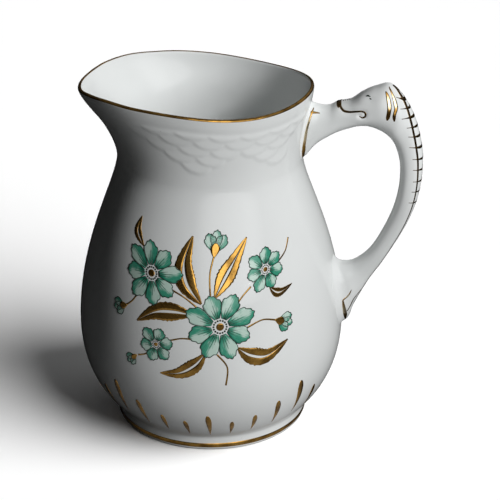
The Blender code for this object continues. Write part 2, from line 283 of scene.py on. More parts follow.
class Wall:
    """The jug's wall as a function of the turn about its axis and the height."""

    def __init__(self, body):
        self.body = body
        belly = bezier(
            (body.crease_radius, body.foot_height),
            (body.crease_radius + BELLY_FOLD * math.cos(BELLY_SPRING),
             body.foot_height + BELLY_FOLD * math.sin(BELLY_SPRING)),
            (body.belly_radius, body.belly_height - body.belly_below),
            (body.belly_radius, body.belly_height), 200)
        shoulder = bezier(
            (body.belly_radius, body.belly_height),
            (body.belly_radius, body.belly_height + body.belly_above),
            (body.neck_radius, body.neck_height - body.neck_fullness),
            (body.neck_radius, body.neck_height), 300)
        self.profile = np.vstack([belly, shoulder[1:], [(body.neck_radius, body.lip_start)]])
        steps = np.linalg.norm(np.diff(self.profile, axis=0), axis=1)
        self.run = np.concatenate([[0.0], np.cumsum(steps)])

    def radius(self, height):
        """Outside radius below the lip."""
        return np.interp(height, self.profile[:, 1], self.profile[:, 0])

    def rim(self, turn):
        """Height of the rim: it waves, and stands a little higher beside the spout."""
        spoutward = -np.cos(turn)
        beside = smooth(*CREST_RISES, spoutward) * smooth(*CREST_FALLS, spoutward)
        wave = self.body.rim_wave * np.cos(3 * turn)
        return self.body.rim_height + wave + self.body.rim_crest * beside

    def ring(self, turn, height, inset=0.0, lip_inset=0.0):
        """Points of the wall, set in from the outside by inset, or by lip_inset at the rim."""
        body = self.body
        turn, height = np.broadcast_arrays(np.asarray(turn, float), np.asarray(height, float))
        base = self.radius(height) - inset
        squeeze = body.neck_squeeze * smooth(*SQUEEZED_HEIGHTS, height)
        share = np.clip(
            (height - body.lip_start) / (self.rim(turn) - body.lip_start), 0.0, 1.0)
        near_rim = np.clip((share - FLICK_START) / (1 - FLICK_START), 0.0, 1.0)
        ease = (SWEPT_SHARE * share ** body.lip_sweep + EASED_SHARE * smooth(0.0, 1.0, share)
                + FLICK_SHARE * near_rim ** 2 * (1 - near_rim))
        cos, sin = np.cos(turn), np.sin(turn)
        reach = np.where(cos > 0, body.rim_back + body.rim_shift, body.spout_reach - body.rim_shift)
        rim_x = -body.rim_shift + (reach - lip_inset) * cos
        rim_y = (body.rim_half_width - lip_inset) * sin
        x = base * cos * (1 - ease) + rim_x * ease
        y = (base - squeeze) * sin * (1 - ease) + rim_y * ease
        return np.stack([AXIS_X + x, y, height], -1)

    def normal(self, turn, height):
        """Directions that point straight out of the wall."""
        step = 1e-4
        round_it = self.ring(turn + step, height) - self.ring(turn - step, height)
        up_it = self.ring(turn, height + step / 20) - self.ring(turn, height - step / 20)
        return unit(np.cross(round_it, up_it))

    def gap(self, points):
        """How far points stand outside the wall, with the wall's own directions there."""
        turn = np.arctan2(points[..., 1], points[..., 0] - AXIS_X)
        height = np.clip(points[..., 2], self.body.foot_height, self.rim(turn))
        out = self.normal(turn, height)
        return np.sum((points - self.ring(turn, height)) * out, -1), out


# The sea horse's mouth, in millimetres out from the body's axis and up
MOUTH = (
    (45.0, 122.0), (45.5, 121.2), (46.1, 120.4), (47.1, 119.8), (48.9, 119.7), (50.9, 120.05),
    (52.9, 120.4))
MOUTH_CURL = (
    MOUTH[-1], (54.0, 120.15), (54.4, 119.4), (54.2, 118.6), (53.3, 118.2), (52.3, 118.7))
# Sections of the bar, each with its outer edge and its inner edge, in millimetres out and up
# from the joint, and the part of the sea horse that sets its width
UPPER_SECTIONS = (
    ((-2.5, 10.7), (-5.4, -12.4), "root"), ((2.4, 9.8), (-0.7, -10.4), "root"),
    ((5.6, 9.1), (3.8, -4.9), "throat"), ((8.6, 9.3), (8.1, -1.7), "throat"),
    ((11.1, 10.8), (11.6, 0.3), "throat"), ((15.6, 11.9), (15.7, 1.9), "throat"),
    ((19.8, 15.0), (18.9, 2.7), "head"), ((24.1, 17.1), (22.3, 2.6), "head"),
    ((29.2, 18.0), (26.0, 1.2), "head"), ((34.4, 12.5), (29.3, -1.1), "head"),
    ((38.5, 3.7), (31.5, -5.0), "back"),
    ((40.9, -9.0), (33.0, -11.5), "back"))
LOWER_SECTIONS = (
    ((27.2, 38.5), (20.0, 39.5), "back"), ((23.5, 27.0), (17.3, 29.2), "grip"),
    ((16.6, 13.9), (11.4, 17.2), "grip"), ((10.4, 3.9), (5.6, 11.5), "grip"),
    ((5.7, -5.2), (1.1, 10.3), "root"), ((2.7, -12.2), (-2.2, 11.4), "root"),
    ((-4.0, -13.6), (-7.5, 13.5), "root"))
# Swellings of the head's side, in millimetres: out, up, reach outwards, reach upwards; and
# how far each stands proud, as a share of the carving
CARVED_FORMS = (
    (55.6, 124.6, 1.7, 1.3, -0.5), (54.8, 126.9, 2.6, 1.1, 0.3), (59.3, 121.5, 3.4, 4.2, 0.9),
    (48.3, 121.7, 3.0, 1.0, 0.6), (50.0, 117.6, 5.0, 1.3, 0.4), (66.0, 117.5, 2.2, 5.0, 0.5))
# Depth of the mouth as a share of the carving, and its half width in millimetres
GROOVE_SHARE = 0.7
GROOVE_REACH = 0.75
# Where across the bar the carving comes in, as shares of the half width
CARVED_SIDE = (0.45, 0.9)
# How much narrower the bar is at its back than in its middle
CREST_TAPER = {"root": 0.0, "throat": 0.18, "head": 0.20, "back": 0.14, "grip": 0.06}
# Above this height a point belongs to the upper joint
UPPER_END = 0.085
# Share of the lower fillet that is left at the back and the inner edge of the bar
CREST_FILLET = 0.3
# How deep the bar's ends may lie in the wall
BURIED_DEPTH = 1.0 * MM


class Handle:
    """The sea-horse handle as a function of the place along it and the turn round its bar."""

    def __init__(self, handle, wall):
        self.handle, self.wall = handle, wall
        widths = {"root": handle.root_width, "throat": handle.throat_width,
                  "head": handle.head_width, "back": handle.back_width, "grip": handle.grip_width}
        outer, inner, width, taper = [], [], [], []
        for sections, height in ((UPPER_SECTIONS, handle.upper_height),
                                 (LOWER_SECTIONS, handle.lower_height)):
            joint = np.array([wall.ring(0.0, height)[0] - AXIS_X, height])
            for back, front, place in sections:
                outer.append(joint + np.array(back) * MM)
                inner.append(joint + np.array(front) * MM)
                width.append((widths[place],))
                taper.append((CREST_TAPER[place],))
        self.outer, self.inner, self.width = np.array(outer), np.array(inner), np.array(width)
        self.taper = np.array(taper)
        self.last = len(outer) - 1

    def middle(self, along):
        """The middle of the bar, as (out, up) from the body's axis."""
        return (flowing(self.outer, along) + flowing(self.inner, along)) / 2

    def bar(self, along, turn):
        """The carved bar before its ends flare into the wall; turn 0 is the sea horse's back."""
        along, turn = np.broadcast_arrays(np.asarray(along, float), np.asarray(turn, float))
        outer, inner = flowing(self.outer, along), flowing(self.inner, along)
        half_width = flowing(self.width, along)[..., 0] / 2
        power = 2 / self.handle.squareness
        cos, sin = np.cos(turn), np.sin(turn)
        deep = np.sign(cos) * np.abs(cos) ** power
        across = np.sign(sin) * np.abs(sin) ** power
        flat = (outer + inner) / 2 + (outer - inner) / 2 * deep[..., None]
        x, z = flat[..., 0], flat[..., 1]
        side = np.sign(across) * smooth(*CARVED_SIDE, np.abs(across))
        half_width = half_width * (1 - flowing(self.taper, along)[..., 0] * deep)
        y = half_width * across + side * self.carved(x / MM, z / MM)
        x = np.minimum(x + AXIS_X, HANDLE_HIGH.x - FILM_ROOM)
        return np.stack([x, y, np.minimum(z, HANDLE_HIGH.z - FILM_ROOM)], -1)

    def carved(self, x, z):
        """How far the side stands proud of the plain bar: mouth, eye, brow, cheek and jaw."""
        depth = self.handle.carving
        groove = distance_to_line(x, z, MOUTH + MOUTH_CURL[1:])
        proud = -GROOVE_SHARE * depth * np.exp(-(groove / GROOVE_REACH) ** 2)
        for at_x, at_z, wide, high, share in CARVED_FORMS:
            proud = proud + share * depth * np.exp(
                -((x - at_x) / wide) ** 2 - ((z - at_z) / high) ** 2)
        return proud

    def surface(self, along, turn):
        """The finished bar, flared at both ends like slip wiped into the joint."""
        step = 1e-3
        points = self.bar(along, turn)
        down = self.bar(along + step, turn) - self.bar(along - step, turn)
        round_it = self.bar(along, turn + step) - self.bar(along, turn - step)
        facing = unit(np.cross(round_it, down))
        facing = facing * np.sign(np.sum(facing * (points - self.core(along)), -1, keepdims=True))
        gap, out = self.wall.gap(points)
        upper = points[..., 2] > UPPER_END
        flank = CREST_FILLET + (1 - CREST_FILLET) * np.sin(turn) ** 2
        fillet = np.where(upper, self.handle.upper_fillet, self.handle.lower_fillet * flank)
        share = np.clip(1 - gap / fillet, 0.0, 1.0)
        push = fillet * (1 - np.sqrt(1 - share ** 2))
        sideways = facing - np.sum(facing * out, -1, keepdims=True) * out
        points = points + sideways * push[..., None]
        gap, out = self.wall.gap(points)
        buried = np.minimum(gap + BURIED_DEPTH, 0.0)
        return points - out * buried[..., None]

    def core(self, along):
        """The middle of the bar as points in space."""
        flat = self.middle(np.asarray(along, float))
        return np.stack([AXIS_X + flat[..., 0], np.zeros(flat.shape[:-1]), flat[..., 1]], -1)

    def normal(self, along, turn):
        """Directions that point out of the finished bar."""
        step = 2e-3
        down = self.surface(along + step, turn) - self.surface(along - step, turn)
        round_it = self.surface(along, turn + step) - self.surface(along, turn - step)
        facing = unit(np.cross(round_it, down))
        outward = self.surface(along, turn) - self.core(along)
        return facing * np.sign(np.sum(facing * outward, -1, keepdims=True))


# Meshes


def grid_quads(rows, columns, closed):
    """Quads of a grid whose columns run round when it is closed."""
    index = np.arange(rows * columns).reshape(rows, columns)
    right = np.roll(index, -1, axis=1)
    if not closed:
        index, right = index[:, :-1], right[:, :-1]
    return np.stack([index[:-1], right[:-1], right[1:], index[1:]], -1).reshape(-1, 4)


def tube_faces(rings, columns):
    """Faces of a tube of closed rings, with a fan to one more point at each of its ends."""
    total = rings * columns
    last = total - columns
    faces = grid_quads(rings, columns, True).tolist()
    for k in range(columns):
        after = (k + 1) % columns
        faces.append((total, after, k))
        faces.append((total + 1, last + k, last + after))
    return faces


def level_ring(turns, radius, height):
    """A level circle of points about the body's axis."""
    return np.stack([AXIS_X + radius * np.cos(turns), radius * np.sin(turns),
                     np.full(len(turns), height)], -1)


def new_mesh(name, vertices, faces):
    """A smooth-shaded mesh."""
    mesh = bpy.data.meshes.new(name)
    mesh.from_pydata(np.asarray(vertices).tolist(), [], [list(map(int, f)) for f in faces])
    mesh.polygons.foreach_set("use_smooth", [True] * len(mesh.polygons))
    mesh.update()
    return mesh


def new_object(name, mesh):
    """An object at the origin in the scene."""
    obj = bpy.data.objects.new(name, mesh)
    bpy.context.scene.collection.objects.link(obj)
    return obj


def finish_piece(obj, slot, *nodes):
    """Stops if the piece came out empty, puts it under the root body and hides the CAD nodes that
    it stands for; the slot is not used.
    """
    if len(obj.data.polygons) == 0:
        raise RuntimeError(obj.name + " came out empty")
    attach(obj, "root")
    if nodes:
        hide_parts(*nodes)


def bake(obj):
    """Turns the result of the object's modifiers into its plain mesh."""
    graph = bpy.context.evaluated_depsgraph_get()
    mesh = bpy.data.meshes.new_from_object(obj.evaluated_get(graph), depsgraph=graph)
    obj.modifiers.clear()
    obj.data = mesh
    mesh.name = obj.name


def point_attribute(mesh, name, values, kind="FLOAT"):
    """Stores one number or vector with each point of a mesh."""
    layer = mesh.attributes.new(name, kind, "POINT")
    field = "vector" if kind == "FLOAT_VECTOR" else "value"
    layer.data.foreach_set(field, np.asarray(values, np.float32).ravel())


# A film stands this share of its thickness proud, and more for each layer under it
FIRST_LAYER = 0.6
NEXT_LAYER = 0.4
# Least width of a brush stroke, in millimetres
LEAST_STROKE = 0.03


class Films:
    """Collects thin painted films, each a grid laid on a surface, into one closed mesh."""

    def __init__(self, film):
        self.film = film
        self.vertices, self.faces, self.uvs = [], [], []
        self.size = 0

    def add(self, points, facing, uv, layer=0):
        """Adds a grid of points as a film with its own thickness; higher layers lie on top."""
        rows, columns = points.shape[:2]
        total = rows * columns
        proud = self.film * (FIRST_LAYER + NEXT_LAYER * layer)
        top = (points + facing * proud).reshape(-1, 3)
        below = (points - facing * self.film).reshape(-1, 3)
        quads = grid_quads(rows, columns, False)
        sample = quads[len(quads) // 2]
        first, second, _, fourth = top[sample]
        across = np.cross(second - first, fourth - first)
        flipped = np.dot(across, facing.reshape(-1, 3)[sample[0]]) < 0
        if flipped:
            quads = quads[:, ::-1]
        index = np.arange(total).reshape(rows, columns)
        edge = np.concatenate([index[0, :-1], index[:-1, -1], index[-1, :0:-1], index[:0:-1, 0]])
        following = np.roll(edge, -1)
        sides = np.stack([following, edge, edge + total, following + total], -1)
        if flipped:
            sides = sides[:, ::-1]
        self.faces.append(np.vstack([quads, quads[:, ::-1] + total, sides]) + self.size)
        self.vertices += [top, below]
        self.uvs += [uv.reshape(-1, 2)] * 2
        self.size += 2 * total

    def mesh(self, name):
        """The films as one mesh with a UV map that runs along and across each of them."""
        mesh = new_mesh(name, np.vstack(self.vertices), np.vstack(self.faces))
        uvs = np.vstack(self.uvs)
        corner = np.empty(len(mesh.loops), np.int32)
        mesh.loops.foreach_get("vertex_index", corner)
        layer = mesh.uv_layers.new(name="paint")
        layer.data.foreach_set("uv", uvs[corner].astype(np.float32).ravel())
        return mesh

    def piece(self, name, slot, material):
        """Finishes the films as one piece."""
        mesh = self.mesh(name)
        mesh.materials.append(material)
        finish_piece(new_object(name, mesh), slot)


def stroke_uv(steps, columns):
    """A grid of places along and across a stroke, each from 0 to 1."""
    return np.stack(np.meshgrid(
        np.linspace(0, 1, steps), np.linspace(0, 1, columns), indexing="ij"), -1)


def stroke_grid(path, widths, steps=24, columns=5):
    """A flat brush stroke: points along a flowing path, as wide as the brush at each place."""
    path = np.asarray(path, float)
    places = np.linspace(0.0, len(path) - 1.0, steps)
    centre = flowing(path, places)
    spread = np.linspace(0.0, len(widths) - 1.0, steps)
    width = flowing(np.asarray(widths, float)[:, None], spread)[:, 0]
    half = np.maximum(width, LEAST_STROKE) / 2
    heading = unit(np.gradient(centre, axis=0))
    side = np.stack([-heading[:, 1], heading[:, 0]], 1)
    across = np.linspace(-1.0, 1.0, columns)
    flat = centre[:, None, :] + side[:, None, :] * (half[:, None] * across)[..., None]
    return flat, stroke_uv(steps, columns)


# Node trees


class Field:
    """A node socket that takes part in plain arithmetic."""

    def __init__(self, tree, socket):
        self.tree, self.socket = tree, socket

    def math(self, operation, *others):
        """A Math node fed by this socket and the others."""
        node = self.tree.nodes.new("ShaderNodeMath")
        node.operation = operation
        for place, value in zip(node.inputs, (self, *others)):
            feed(self.tree, place, value)
        return Field(self.tree, node.outputs[0])

    def __add__(self, other):
        return self.math("ADD", other)

    def __sub__(self, other):
        return self.math("SUBTRACT", other)

    def __mul__(self, other):
        return self.math("MULTIPLY", other)

    def __truediv__(self, other):
        return self.math("DIVIDE", other)

    def smooth(self, low, high, start=0.0, end=1.0):
        """A soft step between two values."""
        node = self.tree.nodes.new("ShaderNodeMapRange")
        node.interpolation_type = "SMOOTHSTEP"
        for name, value in (("Value", self), ("From Min", low), ("From Max", high),
                            ("To Min", start), ("To Max", end)):
            feed(self.tree, node.inputs[name], value)
        return Field(self.tree, node.outputs["Result"])


def feed(tree, place, value):
    """Links a field or a socket to an input, or sets a plain value there."""
    if isinstance(value, Field):
        tree.links.new(value.socket, place)
    elif isinstance(value, bpy.types.NodeSocket):
        tree.links.new(value, place)
    else:
        place.default_value = value


def add_node(tree, kind, inputs=None, **settings):
    """A node with its settings and inputs filled in."""
    node = tree.nodes.new(kind)
    for name, value in settings.items():
        setattr(node, name, value)
    for name, value in (inputs or {}).items():
        feed(tree, node.inputs[name], value)
    return node


SOCKETS = {"length": "NodeSocketFloat", "number": "NodeSocketFloat", "count": "NodeSocketInt",
           "object": "NodeSocketObject", "material": "NodeSocketMaterial"}


def geometry_tree(name, inputs):
    """An empty Geometry Nodes tree with named inputs; returns it with its input node's sockets."""
    tree = bpy.data.node_groups.new(name, "GeometryNodeTree")
    tree.is_modifier = True
    tree.interface.new_socket("Geometry", in_out="OUTPUT", socket_type="NodeSocketGeometry")
    tree.interface.new_socket("Geometry", in_out="INPUT", socket_type="NodeSocketGeometry")
    for label, kind in inputs:
        tree.interface.new_socket(label, in_out="INPUT", socket_type=SOCKETS[kind])
    return tree, tree.nodes.new("NodeGroupInput").outputs


def run_tree(obj, tree, values):
    """Runs a tree on an object with the given inputs and keeps the plain mesh."""
    modifier = obj.modifiers.new(tree.name, "NODES")
    modifier.node_group = tree
    places = {item.name: item.identifier for item in tree.interface.items_tree
              if item.item_type == "SOCKET" and item.in_out == "INPUT"}
    for name, value in values.items():
        modifier[places[name]] = value
    bake(obj)


def end_tree(tree, geometry, material, bare=None):
    """Ends a tree in Realize Instances and Set Material."""
    real = add_node(tree, "GeometryNodeRealizeInstances", {"Geometry": geometry})
    dressed = add_node(tree, "GeometryNodeSetMaterial",
                       {"Geometry": real.outputs[0], "Material": material})
    if bare is not None:
        chosen = named(tree, "bare").math("GREATER_THAN", 0.5)
        dressed = add_node(tree, "GeometryNodeSetMaterial", {
            "Geometry": dressed.outputs[0], "Selection": chosen, "Material": bare})
    out = tree.nodes.new("NodeGroupOutput")
    tree.links.new(dressed.outputs[0], out.inputs[0])


def named(tree, name, kind="FLOAT"):
    """A stored number of the mesh as a field."""
    node = add_node(tree, "GeometryNodeInputNamedAttribute", data_type=kind)
    node.inputs["Name"].default_value = name
    return Field(tree, next(s for s in node.outputs if s.name == "Attribute" and s.enabled))


# Share of a column by which the first scale lies off the handle's middle
SCALE_PHASE = 0.236
# Two garlands of scales, in degrees away from the handle: the fewest rows hang in the valley
# between them, the most where each of them falls off to its end, at so many degrees a row
VALLEY_TURN, VALLEY_ROWS, VALLEY_PACE = 65.0, 2.6, 10.5
SPOUT_TURN, SPOUT_PACE = 90.0, 7.75
HANDLE_TURN, HANDLE_PACE = 40.0, 4.6
DEEPEST_ROWS = 5.2
# The relief sinks into the wall towards the spout between these degrees
SCALES_END = (130.0, 84.0)
# Near the handle the rows have this share of their height, and grow between these degrees
LOW_ROWS = 0.92
LOW_ROW_TURNS = (40.0, 85.0)
# Soft lower edge of a scale, in rows
SCALE_EDGE = (-0.34, 0.40)
# How round that edge is, as factors of the place across to the powers 2 and 4
EDGE_ROUND, EDGE_CORNER = 0.4, 0.45
# A scale thins upwards, to a share of its height at so many rows, and a little to its sides
THIN_ROWS, THIN_SHARE, SIDE_THINNING = 1.5, 0.2, 0.3
# A shallow crease runs along the top of the garlands
CREASE_SHARE, CREASE_ROWS = 0.3, 0.6


def garland_rows(away):
    """How many rows of scales hang at a turn, in degrees away from the handle: two garlands."""
    valley = (away - VALLEY_TURN).math("ABSOLUTE") / VALLEY_PACE + VALLEY_ROWS
    spout_end = (away * -1.0 + SPOUT_TURN) / SPOUT_PACE + DEEPEST_ROWS
    handle_end = (away - HANDLE_TURN) / HANDLE_PACE + DEEPEST_ROWS
    return valley.math("MINIMUM", spout_end).math("MINIMUM", handle_end)


def scale_relief_tree():
    """Moulded fish scales in garlands under the lip, worked out from turn and depth below it."""
    tree, given = geometry_tree("moulded_scales", (
        ("Columns", "count"), ("Row Height", "length"), ("Plain Band", "length"),
        ("Depth", "length"), ("Glaze", "material"), ("Bare Clay", "material")))
    turn, below = named(tree, "turn"), named(tree, "below_lip")
    around = turn.math("ABSOLUTE") * (180 / math.pi)
    row_height = Field(tree, given["Row Height"]) * around.smooth(*LOW_ROW_TURNS, LOW_ROWS, 1.0)
    rows = (below - Field(tree, given["Plain Band"])) / row_height
    columns = Field(tree, given["Columns"])
    first = rows.math("FLOOR")
    whole = columns * around / 360.0 + SCALE_PHASE
    relief = None
    for row in (first - 1.0, first, first + 1.0):
        shift = row.math("FLOORED_MODULO", 2.0) * 0.5
        placed = whole + shift
        column = placed.math("FLOOR")
        aside = (placed - column - 0.5) * 2.0
        curve = aside * aside * (aside * aside * EDGE_CORNER + EDGE_ROUND)
        inside = row + 1.0 - curve - rows
        away = (column - shift + 0.5 - SCALE_PHASE) / columns * 360.0
        there = (garland_rows(away) - row).smooth(0.1, 0.7) * row.smooth(-0.6, -0.4)
        edge = inside.smooth(*SCALE_EDGE)
        body = inside.smooth(0.0, THIN_ROWS, 1.0, THIN_SHARE)
        body = body * (aside * aside * -SIDE_THINNING + 1.0)
        height = edge * body * there * away.smooth(*SCALES_END)
        relief = height if relief is None else relief.math("MAXIMUM", height)
    hung = garland_rows(around).smooth(0.0, 1.0) * around.smooth(*SCALES_END)
    crease = (rows + 0.1).math("ABSOLUTE").smooth(0.0, CREASE_ROWS, CREASE_SHARE, 0.0) * hung
    relief = (relief * rows.smooth(-0.1, 0.4) - crease) * below.math("GREATER_THAN", 0.0)
    lift = relief * Field(tree, given["Depth"])
    normal = tree.nodes.new("GeometryNodeInputNormal")
    offset = add_node(tree, "ShaderNodeVectorMath", {0: normal.outputs[0], "Scale": lift},
                      operation="SCALE")
    moved = add_node(tree, "GeometryNodeSetPosition",
                     {"Geometry": given["Geometry"], "Offset": offset.outputs[0]})
    end_tree(tree, moved.outputs[0], given["Glaze"], given["Bare Clay"])
    return tree


# Points round the section of a gilt bead, and the scale of its unevenness
BEAD_POINTS = 18
BEAD_GRAIN = 140.0


def gilt_line_tree():
    """A hand-laid gilt bead that follows a path, a little uneven in width."""
    tree, given = geometry_tree("gilt_line", (
        ("Radius", "length"), ("Unevenness", "number"), ("Material", "material")))
    curve = add_node(tree, "GeometryNodeMeshToCurve", {0: given["Geometry"]})
    grain = add_node(tree, "ShaderNodeTexNoise", {"Scale": BEAD_GRAIN, "Detail": 2.0})
    wander = (Field(tree, grain.outputs[0]) - 0.5) * Field(tree, given["Unevenness"]) + 1.0
    sized = add_node(tree, "GeometryNodeSetCurveRadius",
                     {0: curve.outputs[0], "Radius": wander * named(tree, "swell")})
    profile = add_node(tree, "GeometryNodeCurvePrimitiveCircle", {"Resolution": BEAD_POINTS})
    feed(tree, profile.inputs["Radius"], given["Radius"])
    tube = add_node(tree, "GeometryNodeCurveToMesh",
                    {"Curve": sized.outputs[0], "Profile Curve": profile.outputs[0]})
    shaded = add_node(tree, "GeometryNodeSetShadeSmooth", {0: tube.outputs[0]})
    end_tree(tree, shaded.outputs[0], given["Material"])
    return tree


# How far a point of a stroke may lie from the wall that it is cast on
CAST_REACH = 0.05


def lay_on(tree, geometry, target, film):
    """Casts each point towards its own heart and lays it on the target as a thin film."""
    info = add_node(tree, "GeometryNodeObjectInfo", {"Object": target}, transform_space="RELATIVE")
    position = tree.nodes.new("GeometryNodeInputPosition").outputs[0]
    heart = named(tree, "heart", "FLOAT_VECTOR").socket
    inward = add_node(tree, "ShaderNodeVectorMath", {0: heart, 1: position}, operation="SUBTRACT")
    cast = add_node(tree, "GeometryNodeRaycast", {
        "Target Geometry": info.outputs["Geometry"], "Source Position": position,
        "Ray Direction": inward.outputs[0], "Ray Length": CAST_REACH})
    layer = named(tree, "layer") * Field(tree, film)
    lift = add_node(tree, "ShaderNodeVectorMath",
                    {0: cast.outputs["Hit Normal"], "Scale": layer}, operation="SCALE")
    place = add_node(tree, "ShaderNodeVectorMath",
                     {0: cast.outputs["Hit Position"], 1: lift.outputs[0]})
    return add_node(tree, "GeometryNodeSetPosition",
                    {"Geometry": geometry, "Position": place.outputs[0]}).outputs[0]


def store_heart(tree, geometry, value, domain):
    """Stores the place towards which each point, or each copy, is cast."""
    kept = add_node(tree, "GeometryNodeStoreNamedAttribute", {
        "Geometry": geometry, "Name": "heart"}, data_type="FLOAT_VECTOR", domain=domain)
    tree.links.new(value, next(s for s in kept.inputs if s.name == "Value" and s.enabled))
    return kept.outputs[0]


def chance(tree, seed, low, high):
    """A random number for each point or copy, between two values."""
    node = add_node(tree, "FunctionNodeRandomValue", {"Seed": seed}, data_type="FLOAT")
    node.inputs[2].default_value = low
    node.inputs[3].default_value = high
    return node.outputs[1]


# Garlands of strokes round the foot
GARLANDS = 4.0
# Shares of a stroke's length: the shortest, what the garland adds, what the middle one adds
SHORTEST_STROKE, HUNG_STROKE, MIDDLE_STROKE = 0.52, 0.48, 0.245
# How far the middle stroke of a garland rises, as a share of the garland
MIDDLE_RISE = 0.18
GARLAND_POWER = 1.7
# A longer stroke is wider too: what its length adds, and the width that it is added to
WIDTH_GROWTH, LEAST_WIDTH = 0.65, 0.5
# Random lengths, and random leans in radians
STROKE_LENGTHS = (0.94, 1.06)
STROKE_LEANS = (0.03, 0.13)


def foot_stroke_tree():
    """Brush strokes in a ring of four garlands, laid on the bottom of the belly.

    They are longest where two garlands meet, with one longer stroke in the middle of each."""
    tree, given = geometry_tree("foot_strokes", (
        ("Count", "count"), ("Ring Radius", "length"), ("Ring Height", "length"),
        ("Garland", "length"), ("Start", "number"), ("Film", "length"), ("Seed", "count"),
        ("Body", "object"), ("Material", "material")))
    ring = add_node(tree, "GeometryNodeMeshCircle",
                    {"Vertices": given["Count"], "Radius": given["Ring Radius"]})
    index = Field(tree, tree.nodes.new("GeometryNodeInputIndex").outputs[0])
    count_each = Field(tree, given["Count"])
    start = Field(tree, given["Start"])
    step = index / count_each * (2 * math.pi) + start
    span = count_each / GARLANDS
    aside = ((index + span * 0.5).math("FLOORED_MODULO", span) - span * 0.5).math("ABSOLUTE")
    hang = ((aside - 1.0) / (span * 0.5 - 1.0)).math("MAXIMUM", 0.0)
    hang = hang.math("POWER", GARLAND_POWER)
    centre = aside.math("LESS_THAN", 0.5)
    drop = hang + centre * MIDDLE_RISE
    rise = add_node(tree, "ShaderNodeCombineXYZ", {"Z": drop * Field(tree, given["Garland"])})
    begun = add_node(tree, "ShaderNodeCombineXYZ", {"Z": start})
    begun = add_node(tree, "GeometryNodeTransform",
                     {"Geometry": ring.outputs["Mesh"], "Rotation": begun.outputs[0]})
    hung = add_node(tree, "GeometryNodeSetPosition",
                    {"Geometry": begun.outputs[0], "Offset": rise.outputs[0]})
    longer = Field(tree, chance(tree, given["Seed"], *STROKE_LENGTHS))
    tall = longer * (hang * HUNG_STROKE + centre * MIDDLE_STROKE + SHORTEST_STROKE)
    wide = tall * WIDTH_GROWTH + LEAST_WIDTH
    size = add_node(tree, "ShaderNodeCombineXYZ", {"X": 1.0, "Y": wide, "Z": tall})
    lean = chance(tree, given["Seed"], *STROKE_LEANS)
    turn = add_node(tree, "ShaderNodeCombineXYZ", {"X": lean, "Z": step})
    placed = add_node(tree, "GeometryNodeInstanceOnPoints", {
        "Points": hung.outputs[0], "Instance": given["Geometry"],
        "Rotation": turn.outputs[0], "Scale": size.outputs[0]})
    real = add_node(tree, "GeometryNodeRealizeInstances", {"Geometry": placed.outputs[0]})
    lift = add_node(tree, "ShaderNodeCombineXYZ", {"X": AXIS_X, "Z": given["Ring Height"]})
    moved = add_node(tree, "GeometryNodeTransform",
                     {"Geometry": real.outputs[0], "Translation": lift.outputs[0]})
    position = tree.nodes.new("GeometryNodeInputPosition").outputs[0]
    level = parts_of(tree, position)[2]
    axis = add_node(tree, "ShaderNodeCombineXYZ", {"X": AXIS_X, "Z": level})
    kept = store_heart(tree, moved.outputs[0], axis.outputs[0], "POINT")
    laid = lay_on(tree, kept, given["Body"], given["Film"])
    end_tree(tree, laid, given["Material"])
    return tree


def spine_tick_tree():
    """Short strokes at points along the sea horse's spine, each bent over its back."""
    tree, given = geometry_tree("spine_ticks", (
        ("Film", "length"), ("Tick", "object"), ("Handle", "object"), ("Material", "material")))
    tick = add_node(tree, "GeometryNodeObjectInfo", {"Object": given["Tick"]})
    turn = add_node(tree, "ShaderNodeCombineXYZ", {"Y": named(tree, "lean")})
    placed = add_node(tree, "GeometryNodeInstanceOnPoints", {
        "Points": given["Geometry"], "Instance": tick.outputs["Geometry"],
        "Rotation": turn.outputs[0]})
    position = tree.nodes.new("GeometryNodeInputPosition").outputs[0]
    kept = store_heart(tree, placed.outputs[0], position, "INSTANCE")
    real = add_node(tree, "GeometryNodeRealizeInstances", {"Geometry": kept})
    laid = lay_on(tree, real.outputs[0], given["Handle"], given["Film"])
    end_tree(tree, laid, given["Material"])
    return tree


# Materials


def new_material(name):
    """A node material; returns it with its tree, its shader and the Object coordinates."""
    material = bpy.data.materials.new(name)
    material.use_nodes = True
    tree = material.node_tree
    where = add_node(tree, "ShaderNodeTexCoord").outputs["Object"]
    return material, tree, tree.nodes["Principled BSDF"], where


def parts_of(tree, vector):
    """The three parts of a vector as fields."""
    node = add_node(tree, "ShaderNodeSeparateXYZ", {0: vector})
    return [Field(tree, part) for part in node.outputs]


def noise(tree, where, scale, detail=2.0, stretch=None):
    """Soft noise on a coordinate."""
    if stretch is not None:
        where = add_node(tree, "ShaderNodeMapping", {"Vector": where, "Scale": stretch}).outputs[0]
    return Field(tree, add_node(tree, "ShaderNodeTexNoise", {
        "Vector": where, "Scale": scale, "Detail": detail}).outputs[0])


def mixed(tree, share, first, second):
    """A colour between two colours."""
    node = add_node(tree, "ShaderNodeMix", data_type="RGBA")
    feed(tree, node.inputs[0], share)
    feed(tree, node.inputs[6], first)
    feed(tree, node.inputs[7], second)
    return node.outputs[2]


def bumped(tree, shader, height, strength, distance):
    """Fine unevenness of a surface."""
    node = add_node(tree, "ShaderNodeBump", {
        "Strength": strength, "Distance": distance, "Height": height})
    tree.links.new(node.outputs[0], shader.inputs["Normal"])


def toned(colour_value, share):
    """A colour brought down, or up, to a share of itself."""
    return tuple(c * share for c in colour_value[:3]) + (1.0,)


# Heights between which the glaze is painted paler, as painted light on the top of the handle
TOP_LIGHT_HEIGHTS = (0.072, 0.106)
SPECK_COLOUR = (0.25, 0.22, 0.18, 1.0)
GLAZE_IOR = 1.5
GLAZE_SPECULAR = 0.3


